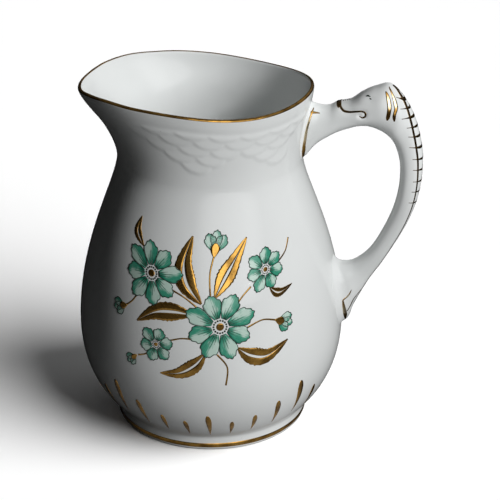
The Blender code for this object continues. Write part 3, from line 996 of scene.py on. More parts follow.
def glaze_material(name, body, painted_top_light=0.0):
    """Glazed porcelain: cool white with soft clouding, a few specks and a barely uneven gloss.

    Given a share, the glaze is painted paler towards the piece's top, as painted light that
    brightens the handle's head."""
    material, tree, shader, where = new_material(name)
    cloud = noise(tree, where, 24.0, 3.0).smooth(0.3, 0.7)
    colour_socket = mixed(tree, cloud, toned(body.glaze, 0.972), tuple(body.glaze))
    if painted_top_light > 0.0:
        # Painted light: paler glaze towards the top
        high = parts_of(tree, where)[2].smooth(*TOP_LIGHT_HEIGHTS)
        colour_socket = mixed(tree, high, colour_socket, toned(body.glaze, 1.0 + painted_top_light))
    cells = add_node(tree, "ShaderNodeTexVoronoi", {"Vector": where, "Scale": 170.0})
    speck = Field(tree, cells.outputs["Distance"]).smooth(0.012, 0.03, 0.45, 0.0)
    rare = noise(tree, where, 60.0, 1.0).math("GREATER_THAN", 0.62)
    colour_socket = mixed(tree, speck * rare, colour_socket, SPECK_COLOUR)
    tree.links.new(colour_socket, shader.inputs["Base Color"])
    gloss = noise(tree, where, 320.0, 2.0).smooth(0.3, 0.75, 0.055, 0.105)
    tree.links.new(gloss.socket, shader.inputs["Roughness"])
    shader.inputs["IOR"].default_value = GLAZE_IOR
    shader.inputs["Specular IOR Level"].default_value = GLAZE_SPECULAR
    bumped(tree, shader, noise(tree, where, 210.0, 2.0).socket, 0.05, 0.0002)
    return material


def bare_clay_material(name, body):
    """Unglazed ring under the foot: fired clay, rough, a little stained."""
    material, tree, shader, where = new_material(name)
    stain = noise(tree, where, 180.0, 4.0).smooth(0.35, 0.75)
    tree.links.new(mixed(tree, stain, tuple(body.bare_clay), toned(body.bare_clay, 0.72)),
                   shader.inputs["Base Color"])
    grain = noise(tree, where, 2600.0, 2.0)
    tree.links.new(grain.smooth(0.2, 0.8, 0.62, 0.85).socket, shader.inputs["Roughness"])
    bumped(tree, shader, grain.socket, 0.35, 0.00015)
    return material


GOLD_METALLIC = 0.9
GOLD_ROUGHNESS = 0.10
# How far the middle of a stroke is painted towards the highlight colour
HIGHLIGHT_SHARE = 0.8


def gold_material(name, bright, worn_and_shaded, brushed, highlight_colour=None):
    """Fired gold, bright where polished, thinner and browner in patches, with fine brush marks.

    Given a highlight colour, a stroke has a painted highlight in its middle and painted shade at
    its browner ends."""
    material, tree, shader, where = new_material(name)
    patches = noise(tree, where, 190.0, 3.0).smooth(0.34, 0.68)
    fine = noise(tree, where, 1500.0, 2.0).smooth(0.35, 0.8)
    wear = patches * 0.75 + fine * 0.25
    colour_socket = mixed(tree, wear, tuple(bright), tuple(worn_and_shaded))
    if highlight_colour is not None:
        uv = add_node(tree, "ShaderNodeUVMap", uv_map="paint").outputs[0]
        along = parts_of(tree, uv)[0]
        # Painted shade: both ends of the stroke are painted browner, the lower end most
        ends = along.smooth(0.0, 0.22, 0.5, 0.0) + along.smooth(0.66, 0.86, 0.0, 0.8)
        # Painted highlight: the middle of the stroke is painted pale
        highlighted = along.smooth(0.14, 0.36) * along.smooth(0.70, 0.50)
        colour_socket = mixed(tree, ends, colour_socket, tuple(worn_and_shaded))
        colour_socket = mixed(tree, highlighted * HIGHLIGHT_SHARE, colour_socket, tuple(highlight_colour))
    tree.links.new(colour_socket, shader.inputs["Base Color"])
    shader.inputs["Metallic"].default_value = GOLD_METALLIC
    rough = wear.smooth(0.0, 1.0, GOLD_ROUGHNESS, GOLD_ROUGHNESS + brushed)
    tree.links.new(rough.socket, shader.inputs["Roughness"])
    bumped(tree, shader, noise(tree, where, 900.0, 3.0).socket, 0.12, 0.0001)
    return material


def petal_material(name, spray):
    """Green enamel brushed thin: deep at the edges and the heart, pale in the middle, streaked."""
    material, tree, shader, where = new_material(name)
    uv = add_node(tree, "ShaderNodeUVMap", uv_map="paint").outputs[0]
    u, v, _ = parts_of(tree, uv)
    edge = ((v - 0.5).math("ABSOLUTE") * 2.0).smooth(0.45, 1.0)
    heart = u.smooth(0.0, 0.42, 1.0, 0.0)
    tip = u.smooth(0.72, 1.0) * 0.55
    streak = noise(tree, uv, 1.0, 2.0, (2.2, 11.0, 1.0)).smooth(0.35, 0.65)
    wash = noise(tree, where, 260.0, 2.0).smooth(0.3, 0.7)
    shaded = v.smooth(0.15, 0.95, 0.42, -0.18)
    strength = edge * 0.30 + heart * 0.55 + tip * 0.5 + streak * 0.25 + wash * 0.25 + shaded - 0.22
    strength = strength.math("MAXIMUM", 0.0).math("MINIMUM", 1.0)
    thin = mixed(tree, strength.smooth(0.0, 0.5), tuple(spray.pale_green), tuple(spray.soft_green))
    tree.links.new(mixed(tree, strength.smooth(0.45, 1.0), thin, tuple(spray.deep_green)),
                   shader.inputs["Base Color"])
    tree.links.new(wash.smooth(0.0, 1.0, 0.10, 0.2).socket, shader.inputs["Roughness"])
    bumped(tree, shader, streak.socket, 0.08, 0.00005)
    return material


def ink_material(name, spray, share):
    """Dark enamel line, a little thinner in places."""
    material, tree, shader, where = new_material(name)
    thin = noise(tree, where, 700.0, 2.0).smooth(0.35, 0.75)
    lighter = tuple(min(1.0, c * share + 0.012) for c in spray.ink[:3]) + (1.0,)
    tree.links.new(mixed(tree, thin, tuple(spray.ink), lighter), shader.inputs["Base Color"])
    tree.links.new(thin.smooth(0.0, 1.0, 0.14, 0.3).socket, shader.inputs["Roughness"])
    return material


def material_of(name, make, *given):
    """A material made once and used by several pieces."""
    return bpy.data.materials.get(name) or make(name, *given)


# How much rougher the thin, browner patches of gold are, on a bead, on a brush stroke and on a dark
# line
BEAD_WEAR, BRUSH_WEAR, DARK_WEAR = 0.12, 0.16, 0.2
# How much lighter thin ink is, in the eyes and in the outlines of the spray
EYE_INK, OUTLINE_INK = 1.6, 2.4


def brush_gold(gilding):
    """The gold of the brush strokes on foot and spray."""
    return material_of("brush_gold", gold_material, gilding.gold, gilding.worn_and_shaded_gold, BRUSH_WEAR)


# Pieces

SHELL_TURNS = 384
# Underside of the foot, in millimetres from the axis and up
UNDERSIDE = (
    (2.0, 2.20), (14.0, 2.20), (25.0, 2.20), (26.6, 2.10), (27.6, 1.75), (28.3, 1.10), (28.8, 0.40),
    (29.2, 0.06), (29.5, 0.0), (31.2, 0.0), (32.6, 0.0), (33.05, 0.05), (33.4, 0.2), (33.65, 0.5),
    (33.8, 1.0))
# Rings up the outside of the foot, as shares of its height
FOOT_STEPS = (0.28, 0.48, 0.68, 0.86)
# Unglazed ring: radii in millimetres, and the height up to which it is bare
BARE_RADII = (29.3, 32.8)
BARE_HEIGHT = 0.05 * MM
# Heights at which the rings of the outside get closer or wider apart
TIGHT_BELOW = 0.012
TIGHT_ABOVE = 0.094
# Rounded corner between the inside of the belly and the floor, then rings across the floor
CORNER_HEIGHT = 0.0125
CORNER_LEAVE = (0.0355, 0.0082)
CORNER_ARRIVE = 0.0325
FLOOR_RADII = (0.027, 0.018, 0.009, 0.002)


def foot_side(body, height):
    """Outside radius of the foot, which widens towards the crease."""
    share = height / body.foot_height
    return body.foot_radius + (body.crease_radius - body.foot_radius) * share ** 2


def shell_rings(wall, body, turns):
    """Rings of points from the middle of the underside over the lip to the middle of the floor.

    Returns the rings, the number of the first one outside, and how far each place of the
    outside lies below the lip."""
    rings = [level_ring(turns, r * MM, z * MM) for r, z in UNDERSIDE]
    for share in FOOT_STEPS:
        height = body.foot_height * share
        rings.append(level_ring(turns, foot_side(body, height), height))
    first_outside = len(rings)
    half_lip = body.lip_wall / 2
    start = body.lip_start
    heights = np.concatenate([
        np.linspace(body.foot_height, TIGHT_BELOW, 10)[:-1],
        np.linspace(TIGHT_BELOW, TIGHT_ABOVE, 42)[:-1],
        np.linspace(TIGHT_ABOVE, start, 22)[:-1]])
    rings += [wall.ring(turns, np.full(len(turns), h)) for h in heights]
    edge = wall.rim(turns) - half_lip
    for share in np.linspace(0.0, 1.0, 62):
        rings.append(wall.ring(turns, start + (edge - start) * share))
    outside = np.stack(rings[first_outside:])
    steps = np.linalg.norm(np.diff(outside[::-1], axis=0), axis=-1)
    depth = np.concatenate([np.zeros((1, len(turns))), np.cumsum(steps, axis=0)])[::-1]
    outer, inner = rings[-1], wall.ring(turns, edge, body.wall, body.lip_wall)
    middle, reach = (outer + inner) / 2, (outer - inner) / 2
    for bend in np.linspace(0.0, math.pi, 11)[1:-1]:
        ring = middle + reach * math.cos(bend)
        ring[:, 2] += half_lip * math.sin(bend)
        rings.append(ring)
    for share in np.linspace(1.0, 0.0, 18):
        rings.append(wall.ring(turns, start + (edge - start) * share, body.wall, body.lip_wall))
    for height in np.linspace(start, CORNER_HEIGHT, 30)[1:]:
        rings.append(wall.ring(turns, np.full(len(turns), height), body.wall))
    corner = bezier((wall.radius(CORNER_HEIGHT) - body.wall, CORNER_HEIGHT), CORNER_LEAVE,
                    (CORNER_ARRIVE, body.floor_height), (FLOOR_RADII[0], body.floor_height), 9)
    rings += [level_ring(turns, r, z) for r, z in corner[1:]]
    rings += [level_ring(turns, r, body.floor_height) for r in FLOOR_RADII[1:]]
    return rings, first_outside, depth


class MILKJUG_OT_body(bpy.types.Operator):
    """Turns the glazed body with its foot, oval lip, inside and moulded scales"""

    bl_idname = "milk_jug.body"
    bl_label = "Turn the Body"

    def execute(self, context):
        body = context.scene.milk_jug.body
        turns = np.linspace(-math.pi, math.pi, SHELL_TURNS, endpoint=False)
        rings, first, depth = shell_rings(Wall(body), body, turns)
        points = np.vstack(rings)
        total = len(points)
        under, inside = (AXIS_X, 0.0, body.foot_recess), (AXIS_X, 0.0, body.floor_height)
        faces = tube_faces(len(rings), SHELL_TURNS)
        mesh = new_mesh("jug_shell", np.vstack([points, [under, inside]]), faces)
        below = np.full(total + 2, -1.0)
        stop = first + len(depth)
        below[first * SHELL_TURNS:stop * SHELL_TURNS] = depth.ravel()
        point_attribute(mesh, "below_lip", below)
        point_attribute(mesh, "turn", np.concatenate([np.tile(turns, len(rings)), [0.0, 0.0]]))
        radius = np.hypot(points[:, 0] - AXIS_X, points[:, 1]) / MM
        bare = (radius > BARE_RADII[0]) & (radius < BARE_RADII[1])
        bare = bare & (points[:, 2] < BARE_HEIGHT)
        point_attribute(mesh, "bare", np.concatenate([bare, [0, 0]]))
        shell = new_object("jug_shell", mesh)
        run_tree(shell, scale_relief_tree(), {
            "Columns": body.scale_columns, "Row Height": body.scale_row,
            "Plain Band": body.plain_band, "Depth": body.scale_depth,
            "Glaze": material_of("porcelain_glaze", glaze_material, body),
            "Bare Clay": material_of("bare_foot_clay", bare_clay_material, body)})
        finish_piece(shell, "porcelain", "jug_body")
        return {"FINISHED"}


def ring_object(name, points, swell):
    """A closed line of edges that a gilt line follows, with the swelling of the line at each."""
    mesh = bpy.data.meshes.new(name)
    total = len(points)
    mesh.from_pydata(points.tolist(), [(k, (k + 1) % total) for k in range(total)], [])
    point_attribute(mesh, "swell", swell)
    return new_object(name, mesh)


LINE_TURNS = 300
# Direction in which the bead sits off the middle of the lip, up from level
LIP_LEAN = math.radians(62)
# The swelling of the bead grows over the tip of the spout, as minus the cosine of the turn
SWELL_PLACES = (0.70, 1.0)
# The foot line is the outer part of a bead that lies in the foot
FOOT_BEAD = 1.7 * MM
FOOT_PROUD = 0.02 * MM
LIP_UNEVENNESS, FOOT_UNEVENNESS = 0.10, 0.012


class MILKJUG_OT_gilt_lines(bpy.types.Operator):
    """Lays the gilt lines over the lip and round the foot"""

    bl_idname = "milk_jug.gilt_lines"
    bl_label = "Gild Lip and Foot"

    def execute(self, context):
        jug = context.scene.milk_jug
        body, gilding = jug.body, jug.gilding
        wall = Wall(body)
        gold = material_of(
            "line_gold", gold_material, gilding.gold, gilding.worn_and_shaded_gold, BEAD_WEAR)
        turns = np.linspace(-math.pi, math.pi, LINE_TURNS, endpoint=False)
        edge = wall.rim(turns) - body.lip_wall / 2
        outer = wall.ring(turns, edge)
        lip = (outer + wall.ring(turns, edge, body.wall, body.lip_wall)) / 2
        swell = 1 + gilding.spout_swell * smooth(*SWELL_PLACES, -np.cos(turns))
        lip += unit(outer - lip) * gilding.rim_offset * math.cos(LIP_LEAN)
        lip[:, 2] += gilding.rim_offset * math.sin(LIP_LEAN)
        tree = gilt_line_tree()
        rim = ring_object("gilt_lip", lip, swell)
        run_tree(rim, tree, {
            "Radius": gilding.rim_line, "Unevenness": LIP_UNEVENNESS, "Material": gold})
        finish_piece(rim, "gilding", "rim_gilding")
        inset = math.sqrt(FOOT_BEAD ** 2 - (gilding.foot_line / 2) ** 2)
        radius = foot_side(body, gilding.foot_line_height) + FOOT_PROUD - inset
        circle = level_ring(turns, radius, gilding.foot_line_height)
        foot = ring_object("gilt_foot_line", circle, np.ones(len(turns)))
        run_tree(foot, tree, {
            "Radius": FOOT_BEAD, "Unevenness": FOOT_UNEVENNESS, "Material": gold})
        finish_piece(foot, "gilding", "foot_gilding")
        return {"FINISHED"}


HANDLE_ROWS, HANDLE_COLUMNS = 290, 100


class MILKJUG_OT_handle(bpy.types.Operator):
    """Casts the sea-horse handle and wipes its ends into the wall"""

    bl_idname = "milk_jug.handle"
    bl_label = "Cast the Sea-Horse Handle"

    def execute(self, context):
        jug = context.scene.milk_jug
        handle = Handle(jug.handle, Wall(jug.body))
        along = np.linspace(0.0, handle.last, HANDLE_ROWS)
        turns = np.linspace(0.0, 2 * math.pi, HANDLE_COLUMNS, endpoint=False)
        grid = handle.surface(*np.meshgrid(along, turns, indexing="ij"))
        ends = np.vstack([grid[0].mean(0), grid[-1].mean(0)])
        faces = [face[::-1] for face in tube_faces(HANDLE_ROWS, HANDLE_COLUMNS)]
        mesh = new_mesh("sea_horse_handle", np.vstack([grid.reshape(-1, 3), ends]), faces)
        # The handle's glaze is painted paler towards the head, as painted light
        glaze = material_of("handle_glaze", glaze_material, jug.body, jug.handle.painted_head_light)
        mesh.materials.append(glaze)
        piece = new_object("sea_horse_handle", mesh)
        finish_piece(piece, "porcelain", "handle", "upper_slip_joint", "lower_slip_joint")
        return {"FINISHED"}


def tree_of(name):
    """A search tree of a finished piece, for casting paint on it."""
    mesh = bpy.data.objects[name].data
    return BVHTree.FromPolygons([v.co for v in mesh.vertices], [p.vertices for p in mesh.polygons])


# How far from the middle plane a cast starts, and where the nearest place is looked for
CAST_START = 0.03
CAST_NEAR = 0.005


def cast_sideways(target, flat, side):
    """Lays flat points, in millimetres out and up from the axis, on one side of a piece."""
    points, facing = np.empty(flat.shape[:-1] + (3,)), np.empty(flat.shape[:-1] + (3,))
    for place in np.ndindex(flat.shape[:-1]):
        x, z = flat[place] * MM
        start = Vector((AXIS_X + x, side * CAST_START, z))
        hit = target.ray_cast(start, Vector((0.0, -side, 0.0)))
        if hit[0] is None:
            hit = target.find_nearest(Vector((AXIS_X + x, side * CAST_NEAR, z)))
        points[place], facing[place] = hit[0], hit[1]
    return points, facing


# Lines on the side of the handle, in millimetres out from the axis and up
GILL_FRONT = (
    (60.9, 127.4), (61.6, 126.1), (62.2, 124.0), (62.45, 122.0), (62.2, 119.6), (61.8, 117.7))
GILL_BACK = (
    (61.9, 128.6), (62.8, 127.2), (63.8, 125.2), (64.5, 123.0), (64.7, 121.7), (64.2, 119.4),
    (64.3, 117.4))
SEAM_TICK = ((35.4, 118.6), (36.8, 118.5), (38.6, 118.3))
FOOT_SEAM = ((47.9, 48.3), (48.25, 45.6), (48.6, 43.0), (48.75, 41.2), (48.65, 38.9))
FOOT_WISP = ((47.9, 48.3), (49.25, 49.4), (50.2, 50.7), (50.8, 52.2))
TAIL_LINE = ((54.1, 51.4), (51.65, 48.15), (50.5, 45.4), (49.35, 43.1))
# Brush strokes: line, widths in millimetres, steps along it
GOLD_STROKES = (
    (GILL_FRONT, (0.25, 0.75, 1.1, 1.35, 1.45, 1.45, 1.45, 1.4, 1.25, 0.4), 40),
    (GILL_BACK, (0.25, 0.45, 0.6, 0.9, 1.2, 1.3, 1.2, 1.15, 1.1, 0.4), 44),
    (FOOT_SEAM, (0.45, 0.95, 1.25, 1.15, 0.25), 24), (FOOT_WISP, (0.5, 0.55, 0.45, 0.2), 14))
# These strokes take the darker gold, which is painted shade
DARK_STROKES = (
    (MOUTH, (0.66, 0.78, 0.72, 0.64, 0.6), 40), (MOUTH_CURL, (0.6, 0.68, 0.64, 0.25), 22),
    (SEAM_TICK, (0.75, 0.65, 0.25), 12), (TAIL_LINE, (0.2, 0.32, 0.34, 0.3), 20))
# Strokes of the eye: line and widths
EYE_MARKS = ((((54.2, 125.2), (54.9, 125.5), (55.8, 125.35)), (0.15, 0.5, 0.2)),
             (((55.5, 124.85), (55.8, 124.7), (56.2, 124.6)), (0.15, 0.45, 0.15)))
# The lines down the back: places along the bar, counted in sections, with the degrees off the
# back's middle and the width in millimetres
SPINE_PLACES = (8.1, 8.35, 8.6, 8.9, 9.2, 9.6, 10.0, 10.6, 11.2, 11.9, 13.0, 14.0, 15.0, 16.0)
SPINE_LEAN = (2.0, 5.0, 13.0, 19.0, 29.0, 43.0, 51.0, 56.0, 56.0, 50.0, 43.0, 37.0, 31.0, 26.0)
SPINE_WIDTH = (0.8, 1.4, 1.5, 1.45, 1.35, 1.15, 1.0, 0.85, 0.75, 0.65, 0.5, 0.4, 0.35, 0.3)
# Strokes across the back: millimetres out from the axis and up, lean in degrees
SPINE_TICKS = (
    (63.9, 125.7, 25), (65.3, 121.7, 8), (65.7, 118.2, 1), (67.6, 114.8, 3), (68.2, 111.6, 7),
    (68.7, 107.8, 9), (69.9, 103.4, 9), (70.2, 99.3, 8), (70.3, 94.9, 8), (70.0, 91.1, 12),
    (69.1, 86.9, 12))
# Gold on the snout and the dots behind it, as places along the bar, counted in sections
SNOUT_PLACES = (3.86, 4.30)
NOSTRILS = (4.44, 4.59, 4.74, 4.89)
# How far the gold on the snout goes round the bar, the turn at which it would be gone, and
# how far its sides sweep back
SNOUT_DEGREES = 43
SNOUT_END = math.radians(45)
SNOUT_SWEEP = 0.10
# Half the size of a dot, along the bar in sections and round it
DOT_REACH = 0.045
DOT_TURN = math.radians(3.4)
# The seam at the neck runs round the bar between these degrees, and is looked for within
# these sections of the bar
SEAM_DEGREES = (24.0, 152.0)
SEAM_SEARCH = (0.0, 3.2)
SEAM_STEPS = 60
# Its width at shares of its run
SEAM_WIDTHS = ((0, 0.15, 0.5, 0.8, 1), (0.3, 0.55, 0.8, 1.0, 0.6))
# Millimetres that its edges stand off the wall at its lower end; the near edge gains the slant
# towards the upper end, and the far edge a share of it
SEAM_NEAR, SEAM_FAR = 0.15, 1.35
SEAM_SLANT, SEAM_FAR_SLANT = 0.95, 0.8
SPINE_STEPS = 150


def seam_places(handle, turns, gaps):
    """The places along the upper end where the bar stands the given gaps off the wall."""
    along = np.linspace(*SEAM_SEARCH, 160)
    found = []
    for turn, gap in zip(turns, gaps):
        away = handle.wall.gap(handle.surface(along, np.full(len(along), turn)))[0]
        beyond = np.nonzero(away > gap)[0]
        found.append(along[beyond[0]])
    return np.array(found)


def add_on_bar(handle, films, place, turn, uv):
    """Adds a film at places along the handle's bar and turns round it."""
    films.add(handle.surface(place, turn), handle.normal(place, turn), uv)


def seam_films(handle, films, side):
    """The gilt seam on one side of the joint at the neck, slanted off the wall at its top."""
    turns = np.radians(np.linspace(*SEAM_DEGREES, SEAM_STEPS)) * side
    width = np.interp(np.linspace(0, 1, SEAM_STEPS), *SEAM_WIDTHS)
    slant = np.linspace(SEAM_SLANT, 0.0, SEAM_STEPS)
    low = seam_places(handle, turns, (SEAM_NEAR + slant) * MM)
    high = seam_places(handle, turns, (SEAM_FAR + SEAM_FAR_SLANT * slant) * MM)
    share = np.linspace(0.0, 1.0, 4) * width[:, None]
    place = low[:, None] + (high - low)[:, None] * share
    turn = np.repeat(turns[:, None], 4, axis=1)
    add_on_bar(handle, films, place, turn, stroke_uv(SEAM_STEPS, 4))


def spine_films(handle, films, side):
    """One of the two gilt lines that run down the back from the top of the head."""
    along = np.linspace(SPINE_PLACES[0], SPINE_PLACES[-1], SPINE_STEPS)
    lean = np.radians(np.interp(along, SPINE_PLACES, SPINE_LEAN)) * side
    width = np.interp(along, SPINE_PLACES, SPINE_WIDTH) * MM
    step = 1e-3
    speed = np.linalg.norm(handle.bar(along, lean + step) - handle.bar(along, lean - step), axis=-1)
    swing = width / 2 / (speed / (2 * step))
    turn = lean[:, None] + swing[:, None] * np.linspace(-1.0, 1.0, 4)
    place = np.repeat(along[:, None], 4, axis=1)
    add_on_bar(handle, films, place, turn, stroke_uv(SPINE_STEPS, 4))


def snout_films(handle, films):
    """Gold over the tip of the snout and a row of dots behind it."""
    start, end = SNOUT_PLACES
    degrees = np.linspace(-SNOUT_DEGREES, SNOUT_DEGREES, 25)
    share, turn = np.meshgrid(np.linspace(-1.0, 1.0, 6), np.radians(degrees), indexing="ij")
    middle, reach = (start + end) / 2, (end - start) / 2
    narrow = np.sqrt(np.maximum(1 - (np.abs(turn) / SNOUT_END) ** 4, 0.02))
    place = middle + SNOUT_SWEEP * smooth(0.0, 1.0, np.abs(turn)) + reach * share * narrow
    add_on_bar(handle, films, place, turn, np.stack([(turn + 1) / 2, (share + 1) / 2], -1))
    for dot in NOSTRILS:
        flat, uv = disc_grid(1.0, 5)
        place, turn = dot + DOT_REACH * flat[..., 0], DOT_TURN * flat[..., 1]
        add_on_bar(handle, films, place, turn, uv)


# A stroke across the back: degrees to each side, radius of the arc, half width at its tips
# and what it gains towards the middle between these degrees
TICK_DEGREES = 78.0
TICK_STEPS = 29
TICK_RADIUS = 11 * MM
TICK_TIP, TICK_GAIN = 0.26 * MM, 0.85 * MM
TICK_NARROWS = (70.0, 20.0)
# Its thickness in films
TICK_FILMS = 1.6


def tick_object(name):
    """One stroke bent in an arc round the back, broad in the middle and thin at its tips."""
    degrees = np.linspace(-TICK_DEGREES, TICK_DEGREES, TICK_STEPS)
    half = TICK_TIP + TICK_GAIN * smooth(*TICK_NARROWS, np.abs(degrees))
    points = np.empty((TICK_STEPS, 3, 3))
    points[..., 0] = np.cos(np.radians(degrees))[:, None] * TICK_RADIUS
    points[..., 1] = np.sin(np.radians(degrees))[:, None] * TICK_RADIUS
    points[..., 2] = half[:, None] * np.linspace(-1.0, 1.0, 3)
    return film_template(name, points)


def film_template(name, grid):
    """A closed film whose upper and lower faces are marked, to be laid on a surface later."""
    films = Films(0.0)
    out = grid.copy()
    out[..., 2] = 0.0
    uv = np.zeros(grid.shape[:2] + (2,))
    uv[..., 0] = np.linspace(0, 1, grid.shape[0])[:, None]
    films.add(grid, unit(out + (1e-9, 0.0, 0.0)), uv)
    mesh = films.mesh(name)
    half = len(mesh.vertices) // 2
    point_attribute(mesh, "layer", [1.0] * half + [-1.0] * half)
    return new_object(name, mesh)


class MILKJUG_OT_handle_gilding(bpy.types.Operator):
    """Gilds the sea horse's mouth, gills, spine and joints, and marks its eyes"""

    bl_idname = "milk_jug.handle_gilding"
    bl_label = "Gild the Sea Horse"

    def execute(self, context):
        jug = context.scene.milk_jug
        gilding = jug.gilding
        handle = Handle(jug.handle, Wall(jug.body))
        # Painted highlight in the middle of each stroke and painted shade at its ends
        gold = material_of("rubbed_gold", gold_material, gilding.gold, gilding.worn_and_shaded_gold,
                           BRUSH_WEAR, gilding.rubbed_gold)
        # Painted shade: the fine lines take the darker copy of the gold
        dark = material_of("dark_gold", gold_material, gilding.dark_gold,
                           toned(gilding.dark_gold, 0.4), DARK_WEAR)
        target = tree_of("sea_horse_handle")
        films, lines, marks = Films(gilding.film), Films(gilding.film), Films(gilding.film)
        for side in (-1.0, 1.0):
            for strokes, group in ((GOLD_STROKES, films), (DARK_STROKES, lines)):
                for path, widths, steps in strokes:
                    flat, uv = stroke_grid(path, widths, steps, 4)
                    group.add(*cast_sideways(target, flat, side), uv)
            spine_films(handle, lines, side)
            seam_films(handle, films, side)
            for path, widths in EYE_MARKS:
                flat, uv = stroke_grid(path, widths, 8, 4)
                marks.add(*cast_sideways(target, flat, side), uv)
        snout_films(handle, lines)
        films.piece("sea_horse_gilding", "gilding", gold)
        lines.piece("sea_horse_lines", "gilding", dark)
        ink = material_of("eye_ink", ink_material, jug.spray, EYE_INK)
        marks.piece("sea_horse_eyes", "enamel", ink)
        mesh = bpy.data.meshes.new("spine_ticks")
        mesh.from_pydata([(AXIS_X + x * MM, 0.0, z * MM) for x, z, _ in SPINE_TICKS], [], [])
        point_attribute(mesh, "lean", [math.radians(lean) for _, _, lean in SPINE_TICKS])
        ticks, tick = new_object("spine_ticks", mesh), tick_object("tick_pattern")
        run_tree(ticks, spine_tick_tree(), {
            "Film": gilding.film * TICK_FILMS, "Tick": tick,
            "Handle": bpy.data.objects["sea_horse_handle"], "Material": dark})
        bpy.data.objects.remove(tick)
        finish_piece(ticks, "gilding")
        return {"FINISHED"}


# One foot stroke: its half width at shares of its length, and how far it curls to a side
STROKE_STEPS = 15
STROKE_PLACES = (0, 0.06, 0.2, 0.4, 0.65, 0.85, 1)
STROKE_SHARES = (0.3, 0.7, 1.0, 0.95, 0.62, 0.3, 0.05)
STROKE_CURL = 0.25 * MM
# The ring that the strokes are cast from, how far its garlands rise, and where it starts
STROKE_RING_RADIUS = 0.055
STROKE_RING_HEIGHT = 0.0121
STROKE_GARLAND = 0.0083
STROKE_START = math.radians(6.5)
STROKE_SEED = 7


class MILKJUG_OT_foot_strokes(bpy.types.Operator):
    """Brushes the ring of gilt strokes above the foot"""

    bl_idname = "milk_jug.foot_strokes"
    bl_label = "Brush the Foot Strokes"

    def execute(self, context):
        gilding = context.scene.milk_jug.gilding
        u = np.linspace(0.0, 1.0, STROKE_STEPS)
        half = gilding.stroke_width / 2 * np.interp(u, STROKE_PLACES, STROKE_SHARES)
        curl = np.sin(u * math.pi) * STROKE_CURL
        grid = np.zeros((STROKE_STEPS, 4, 3))
        grid[..., 1] = curl[:, None] + half[:, None] * np.linspace(-1.0, 1.0, 4)
        grid[..., 2] = (0.5 - u)[:, None] * gilding.stroke_length
        pattern = film_template("foot_strokes", grid + (1e-6, 0.0, 0.0))
        run_tree(pattern, foot_stroke_tree(), {
            "Count": gilding.strokes, "Ring Radius": STROKE_RING_RADIUS,
            "Ring Height": STROKE_RING_HEIGHT, "Garland": STROKE_GARLAND, "Start": STROKE_START,
            "Film": gilding.film, "Seed": STROKE_SEED, "Body": bpy.data.objects["jug_shell"],
            "Material": brush_gold(gilding)})
        finish_piece(pattern, "gilding")
        return {"FINISHED"}


# Painted spray, in millimetres right and up from its middle

# Place, reach, number of petals, heading of the first petal in degrees
BLOSSOMS = (
    (7.0, -7.0, 12.2, 8, 20.0), (-17.5, 9.5, 10.9, 8, 5.0), (22.8, 10.8, 7.4, 7, 40.0),
    (-15.5, -15.0, 6.4, 6, 12.0))
# Place, reach, heading in degrees
BUDS = (
    (4.5, 17.5, 8.2, 84.0), (27.5, -7.5, 7.0, -22.0), (-28.0, -4.0, 6.0, 200.0),
    (-23.5, -21.0, 4.8, 222.0))
# Line along the middle, width
LEAVES = (
    (((0.5, 1.0), (-4.6, 7.5), (-5.8, 14.5), (-3.0, 23.5)), 7.2),
    (((5.0, 3.0), (8.0, 9.0), (11.0, 14.5), (15.5, 22.5)), 6.4),
    (((-2.0, -3.0), (-9.0, -2.4), (-16.0, -3.6), (-23.0, -8.0)), 6.6),
    (((13.0, -15.0), (18.0, -18.5), (24.0, -19.5), (32.0, -15.5)), 6.4),
    (((2.0, -16.5), (-1.5, -21.0), (-7.0, -24.5), (-14.0, -25.5)), 5.4),
    (((24.5, 4.5), (27.0, 2.4), (29.5, 2.0), (34.0, 3.5)), 3.2),
    (((-21.0, 17.5), (-23.5, 20.5), (-24.0, 23.0), (-22.5, 27.0)), 3.4))
STEMS = (
    ((-9.5, 5.0), (-5.0, 2.8), (0.0, -1.0)), ((17.5, 6.0), (14.5, 3.0), (12.0, -0.5)),
    ((4.5, 17.5), (3.2, 11.0), (3.6, 3.0)), ((27.5, -7.5), (22.0, -6.2), (16.5, -8.0)),
    ((-28.0, -4.0), (-25.0, -1.5), (-22.5, 2.0)), ((-10.5, -12.8), (-6.5, -11.6), (-3.0, -11.5)),
    ((-22.5, -20.5), (-20.0, -19.6), (-17.5, -18.2)), ((6.0, -17.0), (9.5, -22.0), (9.0, -29.0)),
    ((27.5, 12.0), (31.0, 15.0), (32.5, 19.0)))
# Widths of the brush along stems, outlines and veins
STEM_WIDTHS = (0.66, 0.54, 0.66)
OUTLINE_WIDTHS = (0.16, 0.26, 0.30, 0.26, 0.16)
VEIN_WIDTHS = (0.22, 0.16, 0.06)
# Column of the petal's grid that a vein follows, and the row at which it ends
VEINS = ((4, 7), (8, 6), (6, 8))
# Width of a petal at shares of its length
PETAL_PLACES = (0, 0.12, 0.35, 0.62, 0.85, 1)
PETAL_SHARES = (0.26, 0.46, 0.80, 1.0, 0.94, 0.70)
# Radii of a blossom as shares of its reach: heart of gold, ring of grains, foot of the petals
HEART_SHARE, GRAIN_RING, PETAL_FOOT = 0.11, 0.185, 0.24
# Petals of a bud: swing off its heading and share of its reach
BUD_PETALS = ((-0.42, 0.9), (0.42, 0.9), (0.0, 1.0))
# The cup of a bud, as shares of its reach: places along its heading, with their widths
CUP_LINE = ((-0.1, 0.0), (0.12, 0.0), (0.3, 0.0), (0.46, 0.0))
CUP_WIDTHS = (0.08, 0.34, 0.4, 0.12)
LEAF_SHARES = (0.10, 0.55, 0.95, 1.0, 0.80, 0.45, 0.08)
LEAF_STEPS = 36
# Half width of the bare vein of a leaf: at its ends, and what it gains in the middle
SLIT_END, SLIT_GAIN = 0.02, 0.11


